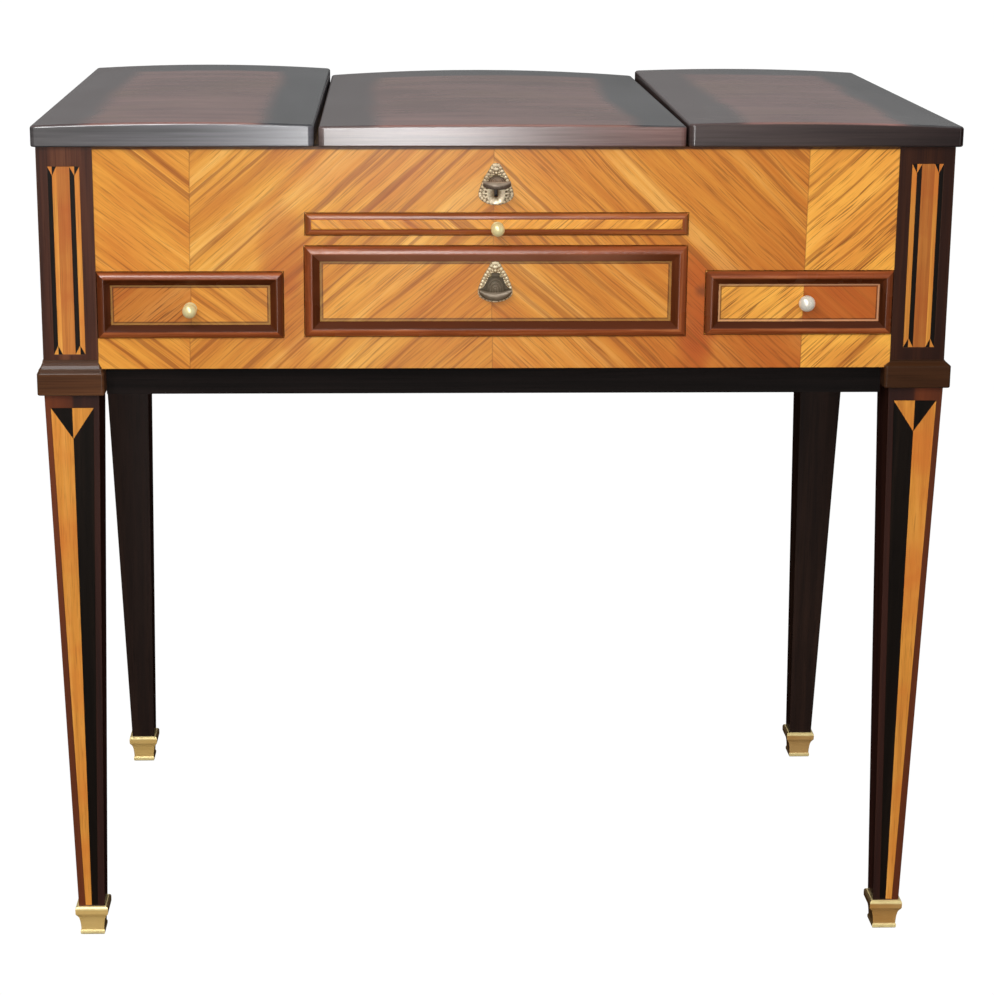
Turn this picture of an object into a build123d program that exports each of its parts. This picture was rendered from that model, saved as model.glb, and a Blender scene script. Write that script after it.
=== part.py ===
"""Poudreuse: a three-lidded dressing table in the Louis XVI taste.

Frame: X across the front (+X to the viewer's right), front faces -Y, +Z up.
Origin: centre of the whole object's footprint box, on the floor.
All sizes in millimetres.
"""
from math import cos, radians, sin, sqrt

from build123d import *
import os

os.makedirs("parts", exist_ok=True)

# ---------------------------------------------------------------- driving dimensions
case_w = 798.0          # over the corner posts
case_d = 490.0          # over the corner posts
case_top = 745.5        # upper edge of the case, underside of the lids
case_bot = 549.4        # lower edge of the veneered case
post = 48.5             # section of the corner posts
lid_front = 4.6         # overhang of the lids at the front
lid_back = 10.5         # overhang of the lids at the back
# each lid at its front and at its back edge: left x, right x, then thickness at left, middle and right
lid_shape = {
    "left": ((-403.0, -159.0, 18.3, 21.4, 19.2), (-402.6, -154.9, 22.6, 26.2, 22.2)),
    "center": ((-155.0, 163.6, 17.8, 19.4, 18.2), (-153.4, 166.8, 15.2, 20.8, 14.6)),
    "right": ((165.6, 405.0, 20.0, 21.2, 17.4), (170.2, 404.2, 20.2, 22.0, 18.0)),
}

drop_pivot_out = 4.4    # keyhole drops' pin stands this far in front of the posts' face
drop_len = 24.0         # pin to lowest point of a drop
drop_lift = 72.0        # rest angle of the upper drop

drop_reach = drop_pivot_out + drop_len * sin(radians(drop_lift)) + 1.3 * cos(radians(drop_lift))
front_y = (drop_reach - case_d - lid_back) / 2     # plane of the posts' front faces
back_y = front_y + case_d
field_y = front_y + 0.5                            # veneered field, 0.5 behind the posts
hw = case_w / 2
inner = hw - post                                  # inner edge of the posts: 350.5
board_t = 18.0
inside_y = field_y + board_t                       # back of the front board
panel_back = back_y - 1.0                          # back panel's outer face
panel_in = back_y - 14.0                           # back panel's inner face

# drawers and slide: (x0, x1, z0, z1) of the openings in the front board
open_slide = (-168.0, 168.0, 667.8, 688.2)
open_center = (-169.0, 167.9, 577.7, 659.4)
open_left = (-inner, -186.5, 576.8, 636.5)
open_right = (183.8, inner, 579.0, 636.9)
gap = 0.6                                          # round each drawer front

part_in, part_out = 172.0, 184.0                   # faces of the two partitions
floor_side_z = 643.0                               # underside of the side wells' floors
floor_mid_z = 692.0
cap_z = 733.5                                      # underside of the partition caps

leg_x, leg_fy, leg_by = 375.3, front_y + 25.5, back_y - 25.5
leg_top_z, leg_h1 = 528.7, 24.3                    # half width of a leg at this height
leg_end = {-1: 525.9, 1: 531.0}                    # where the left and right legs end under their collars
leg_low_z, leg_h2 = 26.0, 12.0                     # half width where it enters the sabot
lean = 6.0                                         # back legs lean inwards by this at the floor
collar_h = 29.7                                    # half width of the square collars
collar_face = 19.4                                 # height of a collar's straight faces
collar_top = {-1: 557.4, 1: 555.7}                 # the hollow above them runs up to here, left and right
lock_x = -1.1                                      # keyholes, locks and their plates

in_t = 0.8                                         # thickness of the inlaid veneers


def cube(x0, x1, y0, y1, z0, z1, mode=Mode.ADD):
    """Axis-parallel box between two corners, in the part being built."""
    with Locations((x0, y0, z0)):
        Box(x1 - x0, y1 - y0, z1 - z0, align=(Align.MIN, Align.MIN, Align.MIN), mode=mode)


# ---------------------------------------------------------------- inlay layouts
# A "pair" is a tapered strip split down its middle, with a counterchanged V at its ends.
def pair_polygons(xl0, xr0, xl1, xr1, top, bot, vee_top, vee_bot):
    """Corner points of a pair: (x at top left, top right, bottom left, bottom right, heights)."""
    def edge(h, a, b):
        return b + (a - b) * (h - bot) / (top - bot)
    m0, m1 = (xl0 + xr0) / 2, (xl1 + xr1) / 2
    mt, mb = edge(top - vee_top, m0, m1), edge(bot + vee_bot, m0, m1)
    left = [(xl0, top), (mt, top - vee_top), (mb, bot + vee_bot), (xl1, bot)]
    right = [(xr0, top), (xr1, bot), (mb, bot + vee_bot), (mt, top - vee_top)]
    tri = [([(xl0, top), (m0, top), (mt, top - vee_top)], "right"),
           ([(m0, top), (xr0, top), (mt, top - vee_top)], "left")]
    if vee_bot > 0:
        tri += [([(xl1, bot), (mb, bot + vee_bot), (m1, bot)], "right"),
                ([(m1, bot), (mb, bot + vee_bot), (xr1, bot)], "left")]
    strips = {"left": [left], "right": [right]}
    for pts, side in tri:
        strips[side].append(pts)
    return strips


flute_vee = 8.0
flute_span = {-1: (728.3 - case_bot, 562.6 - case_bot), 1: (730.4 - case_bot, 567.6 - case_bot)}   # top and bottom, left and right
# across a post from its outer edge: plain, flute, rib, flute, plain
fl_a, fl_b, fl_c, fl_d = 9.8, 17.4, 28.6, 37.2


def post_face(plane, flip, sx):
    """Inlay of one post face. Local x runs from 0 to 48.5; flip is +1 if its outer edge is at x = 0."""
    flute_top, flute_bot = flute_span[sx]

    def m(a):
        return a if flip > 0 else post - a
    out = {"light": [], "dark": [], "rib": []}
    xa, xb = sorted((m(fl_b), m(fl_c)))
    out["rib"].append([(xa, flute_bot), (xb, flute_bot), (xb, flute_top), (xa, flute_top)])
    outlines = list(out["rib"])
    for a, b in ((fl_a, fl_b), (fl_c, fl_d)):
        xa, xb = sorted((m(a), m(b)))
        outlines.append([(xa, flute_bot), (xb, flute_bot), (xb, flute_top), (xa, flute_top)])
        s = pair_polygons(xa, xb, xa, xb, flute_top, flute_bot, flute_vee, flute_vee)
        # the dark half lies on the side of the outer edge
        out["dark"] += s["left" if flip > 0 else "right"]
        out["light"] += s["right" if flip > 0 else "left"]
    return plane, out, outlines


leg_in_top, leg_in_vee, leg_in_bot = {-1: 513.7, 1: 518.6}, 28.5, 30.6


def leg_center(sx, front, z):
    """Centre of a leg's section at height z."""
    f = (z - leg_low_z) / (leg_top_z - leg_low_z)
    x = sx * (leg_x - (0 if front else lean * (1 - f)))
    return x, (leg_fy if front else leg_by)


def leg_half(z):
    return leg_h2 + (leg_h1 - leg_h2) * (z - leg_low_z) / (leg_top_z - leg_low_z)


def leg_face(sx, front, side):
    """Inlay of one leg face, side is 'front' or 'outer'. Local y runs up the sloping face from height leg_low_z."""
    x1, y1 = leg_center(sx, front, leg_top_z)
    x0, y0 = leg_center(sx, front, leg_low_z)
    if side == "front":
        top = Vector(x1, y1 - leg_h1, leg_top_z)
        low = Vector(x0, y0 - leg_h2, leg_low_z)
        across = Vector(1, 0, 0)
    else:
        top = Vector(x1 + sx * leg_h1, y1, leg_top_z)
        low = Vector(x0 + sx * leg_h2, y0, leg_low_z)
        across = Vector(0, 1, 0) if sx > 0 else Vector(0, -1, 0)
    up = (top - low).normalized()
    normal = across.cross(up)
    plane = Plane(origin=low, x_dir=across, z_dir=normal)
    k = (top - low).length / (leg_top_z - leg_low_z)
    a, b = (leg_in_top[sx] - leg_low_z) * k, (leg_in_bot - leg_low_z) * k
    wa, wb = leg_half(leg_in_top[sx]) - 5.0, leg_half(leg_in_bot) - 6.4
    s = pair_polygons(-wa, wa, -wb, wb, a, b, leg_in_vee * k, 0)
    # light half on the outer side at the front, towards the front at the sides
    light_left = (sx < 0) if side == "front" else (sx > 0)
    out = {"light": s["left" if light_left else "right"],
           "dark": s["right" if light_left else "left"], "rib": []}
    return plane, out, [[(-wb, b), (wb, b), (wa, a), (-wa, a)]]


post_faces, leg_faces = {}, {}
for fy, tag in ((front_y, "front"), (back_y - post, "back")):
    for sx, hand in ((-1, "left"), (1, "right")):
        name = f"{tag}_{hand}"
        x0 = -hw if sx < 0 else inner
        found = []
        if tag == "front":
            found.append(post_face(Plane(origin=(x0, fy, case_bot), x_dir=(1, 0, 0), z_dir=(0, -1, 0)), -sx, sx))
        # outer side face: local x runs away from (left) or towards (right) the front
        if sx < 0:
            found.append(post_face(Plane(origin=(-hw, fy + post, case_bot), x_dir=(0, -1, 0), z_dir=(-1, 0, 0)),
                                   -1 if tag == "front" else 1, sx))
        else:
            found.append(post_face(Plane(origin=(hw, fy, case_bot), x_dir=(0, 1, 0), z_dir=(1, 0, 0)),
                                   1 if tag == "front" else -1, sx))
        post_faces[name] = found
        leg_faces[name] = ([leg_face(sx, True, "front")] if tag == "front" else []) + \
            [leg_face(sx, tag == "front", "outer")]

# ---------------------------------------------------------------- corner posts
for name, found in post_faces.items():
    sx = -1 if name.endswith("left") else 1
    front = name.startswith("front")
    x0 = -hw if sx < 0 else inner
    y0 = front_y if front else back_y - post
    lx, ly = leg_center(sx, front, leg_top_z)
    with BuildPart() as corner_post:
        cube(x0, x0 + post, y0, y0 + post, collar_top[sx], case_top)
        with Locations((lx, ly, collar_top[sx])):
            Cylinder(10.2, 32.0, align=(Align.CENTER, Align.CENTER, Align.MIN), mode=Mode.SUBTRACT)
        for plane, _, outlines in found:
            for outline in outlines:
                with BuildSketch(plane):
                    with BuildLine():
                        Polyline(*outline, close=True)
                    make_face()
                extrude(amount=-in_t, mode=Mode.SUBTRACT)
    corner_post.part.label = f"corner_post_{name}"
    export_step(corner_post.part, f"parts/corner_post_{name}.step")

# ---------------------------------------------------------------- legs with their top dowel and foot tenon
for name, found in leg_faces.items():
    sx = -1 if name.endswith("left") else 1
    front = name.startswith("front")
    z1 = leg_end[sx]
    x1, y1 = leg_center(sx, front, z1)
    x0, y0 = leg_center(sx, front, leg_low_z)
    dowel = leg_center(sx, front, leg_top_z)
    with BuildPart() as leg:
        with BuildSketch(Plane.XY.offset(leg_low_z)):
            with Locations((x0, y0)):
                Rectangle(2 * leg_h2, 2 * leg_h2)
        with BuildSketch(Plane.XY.offset(z1)):
            with Locations((x1, y1)):
                Rectangle(2 * leg_half(z1), 2 * leg_half(z1))
        loft(ruled=True)
        cube(x0 - 8.5, x0 + 8.5, y0 - 8.5, y0 + 8.5, 5.0, leg_low_z)
        with Locations((*dowel, z1)):
            Cylinder(10.0, 50.0, align=(Align.CENTER, Align.CENTER, Align.MIN))
        for plane, _, outlines in found:
            for outline in outlines:
                with BuildSketch(plane):
                    with BuildLine():
                        Polyline(*outline, close=True)
                    make_face()
                extrude(amount=-in_t, mode=Mode.SUBTRACT)
    leg.part.label = f"leg_{name}"
    export_step(leg.part, f"parts/leg_{name}.step")

# ---------------------------------------------------------------- inlaid strips, flush in the posts and legs
for kind, node in (("light", "inlay_light_wood"), ("dark", "inlay_ebony"), ("rib", "inlay_ribs")):
    with BuildPart() as inlay:
        for group in (post_faces, leg_faces):
            for found in group.values():
                for plane, polygons, _ in found:
                    for pts in polygons[kind]:
                        with BuildSketch(plane):
                            with BuildLine():
                                Polyline(*pts, close=True)
                            make_face()
                        extrude(amount=-in_t, mode=Mode.ADD)
    inlay.part.label = node
    export_step(inlay.part, f"parts/{node}.step")

# ---------------------------------------------------------------- leg collars: square blocks, hollowed up to the posts
# (height above the straight face, half width), left and right
cove = {-1: ((0.0, 29.7), (0.7, 29.4), (1.3, 28.9), (3.9, 28.0), (4.3, 27.4), (7.0, 26.0), (9.6, 25.0), (collar_top[-1] - leg_end[-1] - collar_face, 24.5)),
        1: ((0.0, 29.7), (0.6, 29.4), (1.2, 28.7), (2.4, 27.0), (3.6, 25.5), (collar_top[1] - leg_end[1] - collar_face, 24.5))}
with BuildPart() as leg_collars:
    for sx in (-1, 1):
        for front in (True, False):
            lx, ly = leg_center(sx, front, leg_top_z)
            with BuildSketch(Plane.XY.offset(leg_end[sx])):
                with Locations((lx, ly)):
                    RectangleRounded(2 * collar_h, 2 * collar_h, 2.6)
            extrude(amount=collar_face)
            for h, half in cove[sx]:
                with BuildSketch(Plane.XY.offset(leg_end[sx] + collar_face + h)):
                    with Locations((lx, ly)):
                        RectangleRounded(2 * half, 2 * half, 2.6 - 2.0 * (collar_h - half) / 5.2)
            loft(ruled=True)
            with Locations((lx, ly, leg_end[sx] - 1)):
                Cylinder(10.2, 34.0, align=(Align.CENTER, Align.CENTER, Align.MIN), mode=Mode.SUBTRACT)
    low = [e for e in leg_collars.edges() if min(abs(e.center().Z - z) for z in leg_end.values()) < 0.01]
    fillet([e for e in low if e.geom_type != GeomType.CIRCLE or e.radius < 9], 1.6)
    # the case's boards stand inside the hollow
    cube(-inner, inner, field_y, panel_back, case_bot, collar_top[-1] + 1, mode=Mode.SUBTRACT)
    cube(-hw + 1.5, hw - 1.5, front_y + post, back_y - post, case_bot, collar_top[-1] + 1, mode=Mode.SUBTRACT)
leg_collars.part.label = "leg_collars"
export_step(leg_collars.part, "parts/leg_collars.step")

# ---------------------------------------------------------------- cast brass sabots, square cups on the legs' feet
sabot_profile = ((0, 10.3), (0.5, 10.9), (1.4, 11.4), (3.4, 11.5), (4.4, 11.1), (5.2, 10.7), (9.0, 10.9), (13.0, 11.3), (16.6, 12.0),
                 (18.8, 12.8), (20.4, 13.9), (21.6, 14.8), (22.6, 15.2), (27.2, 15.3), (28.4, 15.0), (29.2, 14.4), (29.8, 13.6))
with BuildPart() as sabots:
    for sx in (-1, 1):
        for front in (True, False):
            fx, fy = leg_center(sx, front, leg_low_z)
            for z, h in sabot_profile:
                with BuildSketch(Plane.XY.offset(z)):
                    with Locations((fx, fy)):
                        Rectangle(2 * h, 2 * h)
            loft(ruled=True)
            cube(fx - 8.7, fx + 8.7, fy - 8.7, fy + 8.7, 4.8, 31.0, mode=Mode.SUBTRACT)
            cube(fx - 12.3, fx + 12.3, fy - 12.3, fy + 12.3, leg_low_z - 0.1, 31.0, mode=Mode.SUBTRACT)
sabots.part.label = "sabots"
export_step(sabots.part, "parts/sabots.step")

# ---------------------------------------------------------------- hinges
pin_r, knuckle_r = 1.0, 2.0
# (name of the lid, origin of the pin, direction of the pin); local y points into the case
hinge_sites = {
    "left": [Plane(origin=(-hw - 2.5, front_y + y, case_top), x_dir=(0, -1, 0), z_dir=(0, 0, 1)) for y in (95, 395)],
    "right": [Plane(origin=(hw + 3.6, front_y + y, case_top), x_dir=(0, 1, 0), z_dir=(0, 0, 1)) for y in (95, 395)],
    "center": [Plane(origin=(x, back_y + 4.0, case_top), x_dir=(-1, 0, 0), z_dir=(0, 0, 1)) for x in (-100, 110)],
}
leaf_l, leaf_in, leaf_reach, leaf_t = 45.0, 2.5, 16.0, 1.5


def hinge_pocket(site, up):
    """Cuts a leaf's seat, and the round clearance for the knuckles, out of the part being built."""
    z0, z1 = (0, leaf_t) if up else (-leaf_t, 0)
    box = Box(leaf_l + 0.4, leaf_reach + 0.2, z1 - z0 + 0.5, align=(Align.CENTER, Align.MIN, Align.MIN), mode=Mode.PRIVATE)
    low = z0 - (0.5 if up else 0)
    add(site.location * Location((0, 0, low)) * box, mode=Mode.SUBTRACT)
    if up:
        bar = Cylinder(2.9, leaf_l + 1.0, rotation=(0, 90, 0), mode=Mode.PRIVATE)
        add(site.location * bar, mode=Mode.SUBTRACT)


with BuildPart() as hinge_leaves_case:
    for sites in hinge_sites.values():
        for site in sites:
            with Locations(site.location):
                with Locations((0, leaf_in, -leaf_t)):
                    Box(leaf_l, leaf_reach - leaf_in, leaf_t, align=(Align.CENTER, Align.MIN, Align.MIN))
                for x0, x1 in ((-22.5, -8.0), (8.0, 22.5)):
                    with Locations((x0, 0, -leaf_t)):
                        Box(x1 - x0, leaf_in + 0.1, leaf_t, align=(Align.MIN, Align.MIN, Align.MIN))
                    with Locations(((x0 + x1) / 2, 0, 0)):
                        Cylinder(knuckle_r, x1 - x0, rotation=(0, 90, 0))
                        Cylinder(pin_r, x1 - x0, rotation=(0, 90, 0), mode=Mode.SUBTRACT)
hinge_leaves_case.part.label = "hinge_leaves_case"
export_step(hinge_leaves_case.part, "parts/hinge_leaves_case.step")

with BuildPart() as hinge_pins:
    for sites in hinge_sites.values():
        for site in sites:
            with Locations(site.location):
                Cylinder(pin_r, leaf_l, rotation=(0, 90, 0))
hinge_pins.part.label = "hinge_pins"
export_step(hinge_pins.part, "parts/hinge_pins.step")

for hand, sites in hinge_sites.items():
    with BuildPart() as hinge_leaves_lid:
        for site in sites:
            with Locations(site.location):
                with Locations((0, leaf_in, 0)):
                    Box(leaf_l, leaf_reach - leaf_in, leaf_t, align=(Align.CENTER, Align.MIN, Align.MIN))
                with Locations((0, 0, 0)):
                    Box(15.2, leaf_in + 0.1, leaf_t, align=(Align.CENTER, Align.MIN, Align.MIN))
                Cylinder(knuckle_r, 15.2, rotation=(0, 90, 0))
                Cylinder(pin_r + 0.05, 15.2, rotation=(0, 90, 0), mode=Mode.SUBTRACT)
    hinge_leaves_lid.part.label = f"hinge_leaves_lid_{hand}"
    export_step(hinge_leaves_lid.part, f"parts/hinge_leaves_lid_{hand}.step")

# ---------------------------------------------------------------- lids
for hand, sections in lid_shape.items():
    with BuildPart() as lid:
        for y, (x0, x1, t0, tm, t1) in zip((front_y - lid_front, back_y + lid_back), sections):
            with BuildSketch(Plane(origin=(0, y, case_top), x_dir=(1, 0, 0), z_dir=(0, -1, 0))):
                with BuildLine():
                    Polyline((x0, t0), (x0, 0), (x1, 0), (x1, t1))
                    ThreePointArc((x1, t1), ((x0 + x1) / 2, tm), (x0, t0))
                make_face()
        loft()
        fillet(lid.edges().filter_by(Axis.Z), 5.0)
        thin = min(min(sec[2], sec[4]) for sec in sections)
        top_edges = [e for e in lid.edges() if e.center().Z > case_top + 0.75 * thin]
        fillet(top_edges, 2.6)
        fillet([e for e in lid.edges().group_by(Axis.Z)[0]], 1.6)
        for site in hinge_sites[hand]:
            hinge_pocket(site, True)
        if hand == "center":
            # seat for the lock's bolt
            cube(lock_x - 11.0, lock_x + 11.0, field_y + 7.5, field_y + 14.5, case_top, case_top + 7.0, mode=Mode.SUBTRACT)
    lid.part.label = f"lid_{hand}"
    export_step(lid.part, f"parts/lid_{hand}.step")

# mirror under the centre lid
mx0, mx1, my0, my1 = -143.0, 153.0, front_y + 42, front_y + 468
with BuildPart() as mirror_glass:
    cube(mx0 + 10, mx1 - 10, my0 + 10, my1 - 10, case_top - 4.0, case_top)
mirror_glass.part.label = "mirror_glass"
export_step(mirror_glass.part, "parts/mirror_glass.step")
with BuildPart() as mirror_frame:
    for x0, x1, y0, y1 in ((mx0, mx1, my0, my0 + 12), (mx0, mx1, my1 - 12, my1),
                           (mx0, mx0 + 12, my0 + 12, my1 - 12), (mx1 - 12, mx1, my0 + 12, my1 - 12)):
        cube(x0, x1, y0, y1, case_top - 7.0, case_top)
    cube(mx0 + 10, mx1 - 10, my0 + 10, my1 - 10, case_top - 4.0, case_top, mode=Mode.SUBTRACT)
    outer = mirror_frame.edges().group_by(Axis.Z)[0]
    chamfer(outer, 1.5)
mirror_frame.part.label = "mirror_frame"
export_step(mirror_frame.part, "parts/mirror_frame.step")

# ---------------------------------------------------------------- front board with its four openings
with BuildPart() as front_board:
    cube(-inner, inner, field_y, inside_y, case_bot, case_top)
    for x0, x1, z0, z1 in (open_slide, open_center, open_left, open_right):
        cube(x0, x1, field_y - 1, inside_y + 1, z0, z1, mode=Mode.SUBTRACT)
    # mortise of the lid's lock, its keyhole, and the seat for the drawer lock's bolt
    cube(lock_x - 26.2, lock_x + 26.2, field_y + 6.0, inside_y + 1, 692.5, case_top + 1, mode=Mode.SUBTRACT)
    with Locations((lock_x, field_y + 3, 709.5)):
        Cylinder(2.8, 8.0, rotation=(90, 0, 0), mode=Mode.SUBTRACT)
    cube(lock_x - 1.7, lock_x + 1.7, field_y - 1, field_y + 7, 701.5, 709.5, mode=Mode.SUBTRACT)
    cube(lock_x - 10.5, lock_x + 10.5, field_y + 7.5, field_y + 14.5, 659.0, 664.6, mode=Mode.SUBTRACT)
front_board.part.label = "front_board"
export_step(front_board.part, "parts/front_board.step")

# ---------------------------------------------------------------- sides, back, bottom
for sx, hand in ((-1, "left"), (1, "right")):
    x0, x1 = (-hw + 1.5, -hw + 18.0) if sx < 0 else (hw - 18.0, hw - 1.5)
    with BuildPart() as side_panel:
        cube(x0, x1, front_y + post, back_y - post, case_bot, case_top)
        for site in hinge_sites[hand]:
            hinge_pocket(site, False)
    side_panel.part.label = f"side_panel_{hand}"
    export_step(side_panel.part, f"parts/side_panel_{hand}.step")

with BuildPart() as back_panel:
    cube(-inner, inner, panel_in, panel_back, case_bot, case_top)
    for site in hinge_sites["center"]:
        hinge_pocket(site, False)
back_panel.part.label = "back_panel"
export_step(back_panel.part, "parts/back_panel.step")

side_in = hw - 18.0
with BuildPart() as bottom_board:
    cube(-side_in, side_in, front_y + post, back_y - post, case_bot, case_bot + 8)
    cube(-inner, inner, inside_y, panel_in, case_bot, case_bot + 8)
bottom_board.part.label = "bottom_board"
export_step(bottom_board.part, "parts/bottom_board.step")

# dark rails set back under the case, between the collars
rail_bot, rail_back = 523.8, 13.0
collar_in_x = leg_x - collar_h
with BuildPart() as bottom_rails:
    for box in ((-collar_in_x, collar_in_x, front_y + rail_back, front_y + rail_back + 16),
                (-collar_in_x, collar_in_x, back_y - rail_back - 16, back_y - rail_back),
                (-hw + rail_back, -hw + rail_back + 16, leg_fy + collar_h, leg_by - collar_h),
                (hw - rail_back - 16, hw - rail_back, leg_fy + collar_h, leg_by - collar_h)):
        cube(*box, rail_bot, case_bot)
bottom_rails.part.label = "bottom_rails"
export_step(bottom_rails.part, "parts/bottom_rails.step")

# ---------------------------------------------------------------- inside of the case
with BuildPart() as partitions:
    for x0, x1 in ((-part_out, -part_in), (part_in, part_out)):
        cube(x0, x1, inside_y, panel_in, case_bot + 8, cap_z)
partitions.part.label = "partitions"
export_step(partitions.part, "parts/partitions.step")

with BuildPart() as partition_caps:
    for x0, x1 in ((-188.0, -147.0), (157.0, 188.0)):
        cube(x0, x1, inside_y, panel_in, cap_z, case_top)
partition_caps.part.label = "partition_caps"
export_step(partition_caps.part, "parts/partition_caps.step")

with BuildPart() as well_floors:
    for s in (-1, 1):
        a, b = sorted((s * part_out, s * inner))
        cube(a, b, inside_y, panel_in, floor_side_z, floor_side_z + 6)
        a, b = sorted((s * (inner - 1), s * side_in))
        cube(a, b, front_y + post, back_y - post, floor_side_z, floor_side_z + 6)
    cube(-part_in, part_in, inside_y, panel_in, floor_mid_z, floor_mid_z + 6)
well_floors.part.label = "well_floors"
export_step(well_floors.part, "parts/well_floors.step")

with BuildPart() as dust_board:
    cube(-part_in, part_in, inside_y, panel_in, 660.6, 666.4)
dust_board.part.label = "dust_board"
export_step(dust_board.part, "parts/dust_board.step")

with BuildPart() as drawer_runners:
    z0 = case_bot + 8
    z1 = open_center[2] + 0.8
    for s in (-1, 1):
        zs = (open_left if s < 0 else open_right)[2] + 0.8
        a, b = sorted((s * 156.0, s * part_in))
        cube(a, b, inside_y, panel_in, z0, z1)
        a, b = sorted((s * part_out, s * 200.0))
        cube(a, b, inside_y, panel_in, z0, zs)
        a, b = sorted((s * 338.0, s * side_in))
        cube(a, b, front_y + post, back_y - post, z0, zs)
        a, b = sorted((s * (inner + 0.5), s * side_in))
        cube(a, b, front_y + post, back_y - post, zs, 600.0)
        # the writing slide's guides, below and above it
        a, b = sorted((s * 158.0, s * part_in))
        cube(a, b, inside_y, panel_in, 666.4, 670.7)
        cube(a, b, inside_y, panel_in, 685.3, floor_mid_z)
drawer_runners.part.label = "drawer_and_slide_runners"
export_step(drawer_runners.part, "parts/drawer_and_slide_runners.step")

# ---------------------------------------------------------------- drawers
band = {"left": 11.4, "right": 11.4, "center": 13.4, "slide": 5.2}


def strip_profile(w, kind):
    """Section of a moulding strip: distance inwards from the outer edge, height above the board.
    Returns the points of its rounded face; the back is straight."""
    if kind == "slide":
        return [(0, 0.9), (0.6, 2.0), (1.8, 3.0), (3.2, 3.5), (w, 3.6)]
    return [(0, 1.2), (0.06 * w, 2.5), (0.19 * w, 3.8), (0.36 * w, 4.7), (0.51 * w, 4.9), (0.63 * w, 4.4), (0.76 * w, 3.4), (w - 0.9, 2.3), (w, 1.7)]


def moulding_strips(x0, x1, z0, z1, kind):
    """Four strips round a rectangle, mitred at 45 degrees, standing on the plane y = field_y."""
    w = band[kind]
    cx, cz = (x0 + x1) / 2, (z0 + z1) / 2
    solids = []
    for turn, length, half in ((0, x1 - x0, (z1 - z0) / 2), (90, z1 - z0, (x1 - x0) / 2),
                               (180, x1 - x0, (z1 - z0) / 2), (270, z1 - z0, (x1 - x0) / 2)):
        # local frame: x along the strip, y towards the middle of the rectangle, z out of the board
        a = radians(turn)
        along, inward = Vector(cos(a), 0, sin(a)), Vector(-sin(a), 0, cos(a))
        start = Vector(cx, field_y, cz) - inward * half - along * (length / 2)
        with BuildPart() as strip:
            with BuildSketch(Plane(origin=start, x_dir=inward, z_dir=along)):
                with BuildLine():
                    # sketch x is inwards, sketch y = along x inward, which points out of the board or into it
                    s = 1 if along.cross(inward).Y < 0 else -1
                    face = [(d, s * h) for d, h in strip_profile(w, kind)]
                    Polyline(face[-1], (w, 0), (0, 0), face[0])
                    Spline(*face)
                make_face()
            extrude(amount=length)
            m0 = Plane(origin=start, x_dir=(0, 1, 0), z_dir=(along - inward).normalized())
            split(bisect_by=m0, keep=Keep.TOP)
            end = start + along * length
            m1 = Plane(origin=end, x_dir=(0, 1, 0), z_dir=(-along - inward).normalized())
            split(bisect_by=m1, keep=Keep.TOP)
            # the corners are rounded a little
            with BuildSketch(Plane(origin=(cx, field_y, cz), x_dir=(1, 0, 0), z_dir=(0, -1, 0))):
                RectangleRounded(x1 - x0, z1 - z0, 1.8)
            extrude(amount=8.0, mode=Mode.INTERSECT)
        solids.append(strip.part)
    return solids


drawer_depth = 437.0
for kind, opening in (("left", open_left), ("right", open_right), ("center", open_center)):
    x0, x1 = opening[0] + gap, opening[1] - gap
    z0, z1 = opening[2] + gap, opening[3] - gap
    name = f"drawer_{kind}"
    # front board, flush with the field
    with BuildPart() as front:
        cube(x0, x1, field_y, inside_y, z0, z1)
        if kind == "center":
            cube(lock_x - 26.2, lock_x + 26.2, field_y + 6.0, inside_y + 1, 606.0, z1 + 1, mode=Mode.SUBTRACT)
            with Locations((lock_x, field_y + 3, 623.5)):
                Cylinder(2.8, 8.0, rotation=(90, 0, 0), mode=Mode.SUBTRACT)
            cube(lock_x - 1.7, lock_x + 1.7, field_y - 1, field_y + 7, 615.5, 623.5, mode=Mode.SUBTRACT)
    front.part.label = f"{name}_front"
    export_step(front.part, f"parts/{name}_front.step")
    strips = moulding_strips(x0, x1, z0, z1, kind)
    with BuildPart() as moulding:
        for s in strips:
            add(s)
    moulding.part.label = f"{name}_moulding"
    export_step(moulding.part, f"parts/{name}_moulding.step")
    # sides and back in one node, three boards
    bx0, bx1 = x0 + 1.2, x1 - 1.2
    top = z1 - 4.5
    yb = inside_y + drawer_depth
    with BuildPart() as carcase:
        cube(bx0, bx0 + 8, inside_y, yb, z0 + 0.5, top)
        cube(bx1 - 8, bx1, inside_y, yb, z0 + 0.5, top)
        cube(bx0 + 8, bx1 - 8, yb - 8, yb, z0 + 7.5, top - 4)
    carcase.part.label = f"{name}_sides_and_back"
    export_step(carcase.part, f"parts/{name}_sides_and_back.step")
    with BuildPart() as bottom:
        cube(bx0 + 8, bx1 - 8, inside_y, yb, z0 + 2.5, z0 + 7.5)
    bottom.part.label = f"{name}_bottom"
    export_step(bottom.part, f"parts/{name}_bottom.step")

# ---------------------------------------------------------------- writing slide
x0, x1, z0, z1 = open_slide[0] + gap, open_slide[1] - gap, open_slide[2] + gap, open_slide[3] - gap
w = band["slide"]
with BuildPart() as slide_front:
    cube(x0 + w, x1 - w, field_y - 4.7, field_y + 1, z0 + w, z1 - w)
    fillet(slide_front.edges().group_by(Axis.Y)[0], 1.2)
    cube(x0, x1, field_y, inside_y, z0, z1)
slide_front.part.label = "slide_front"
export_step(slide_front.part, "parts/slide_front.step")
strips = moulding_strips(x0, x1, z0, z1, "slide")
with BuildPart() as slide_moulding:
    for s in strips:
        add(s)
slide_moulding.part.label = "slide_moulding"
export_step(slide_moulding.part, "parts/slide_moulding.step")
with BuildPart() as slide_board:
    cube(-165.5, 165.5, inside_y, inside_y + 430.0, 671.0, 685.0)
slide_board.part.label = "slide_board"
export_step(slide_board.part, "parts/slide_board.step")

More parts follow.
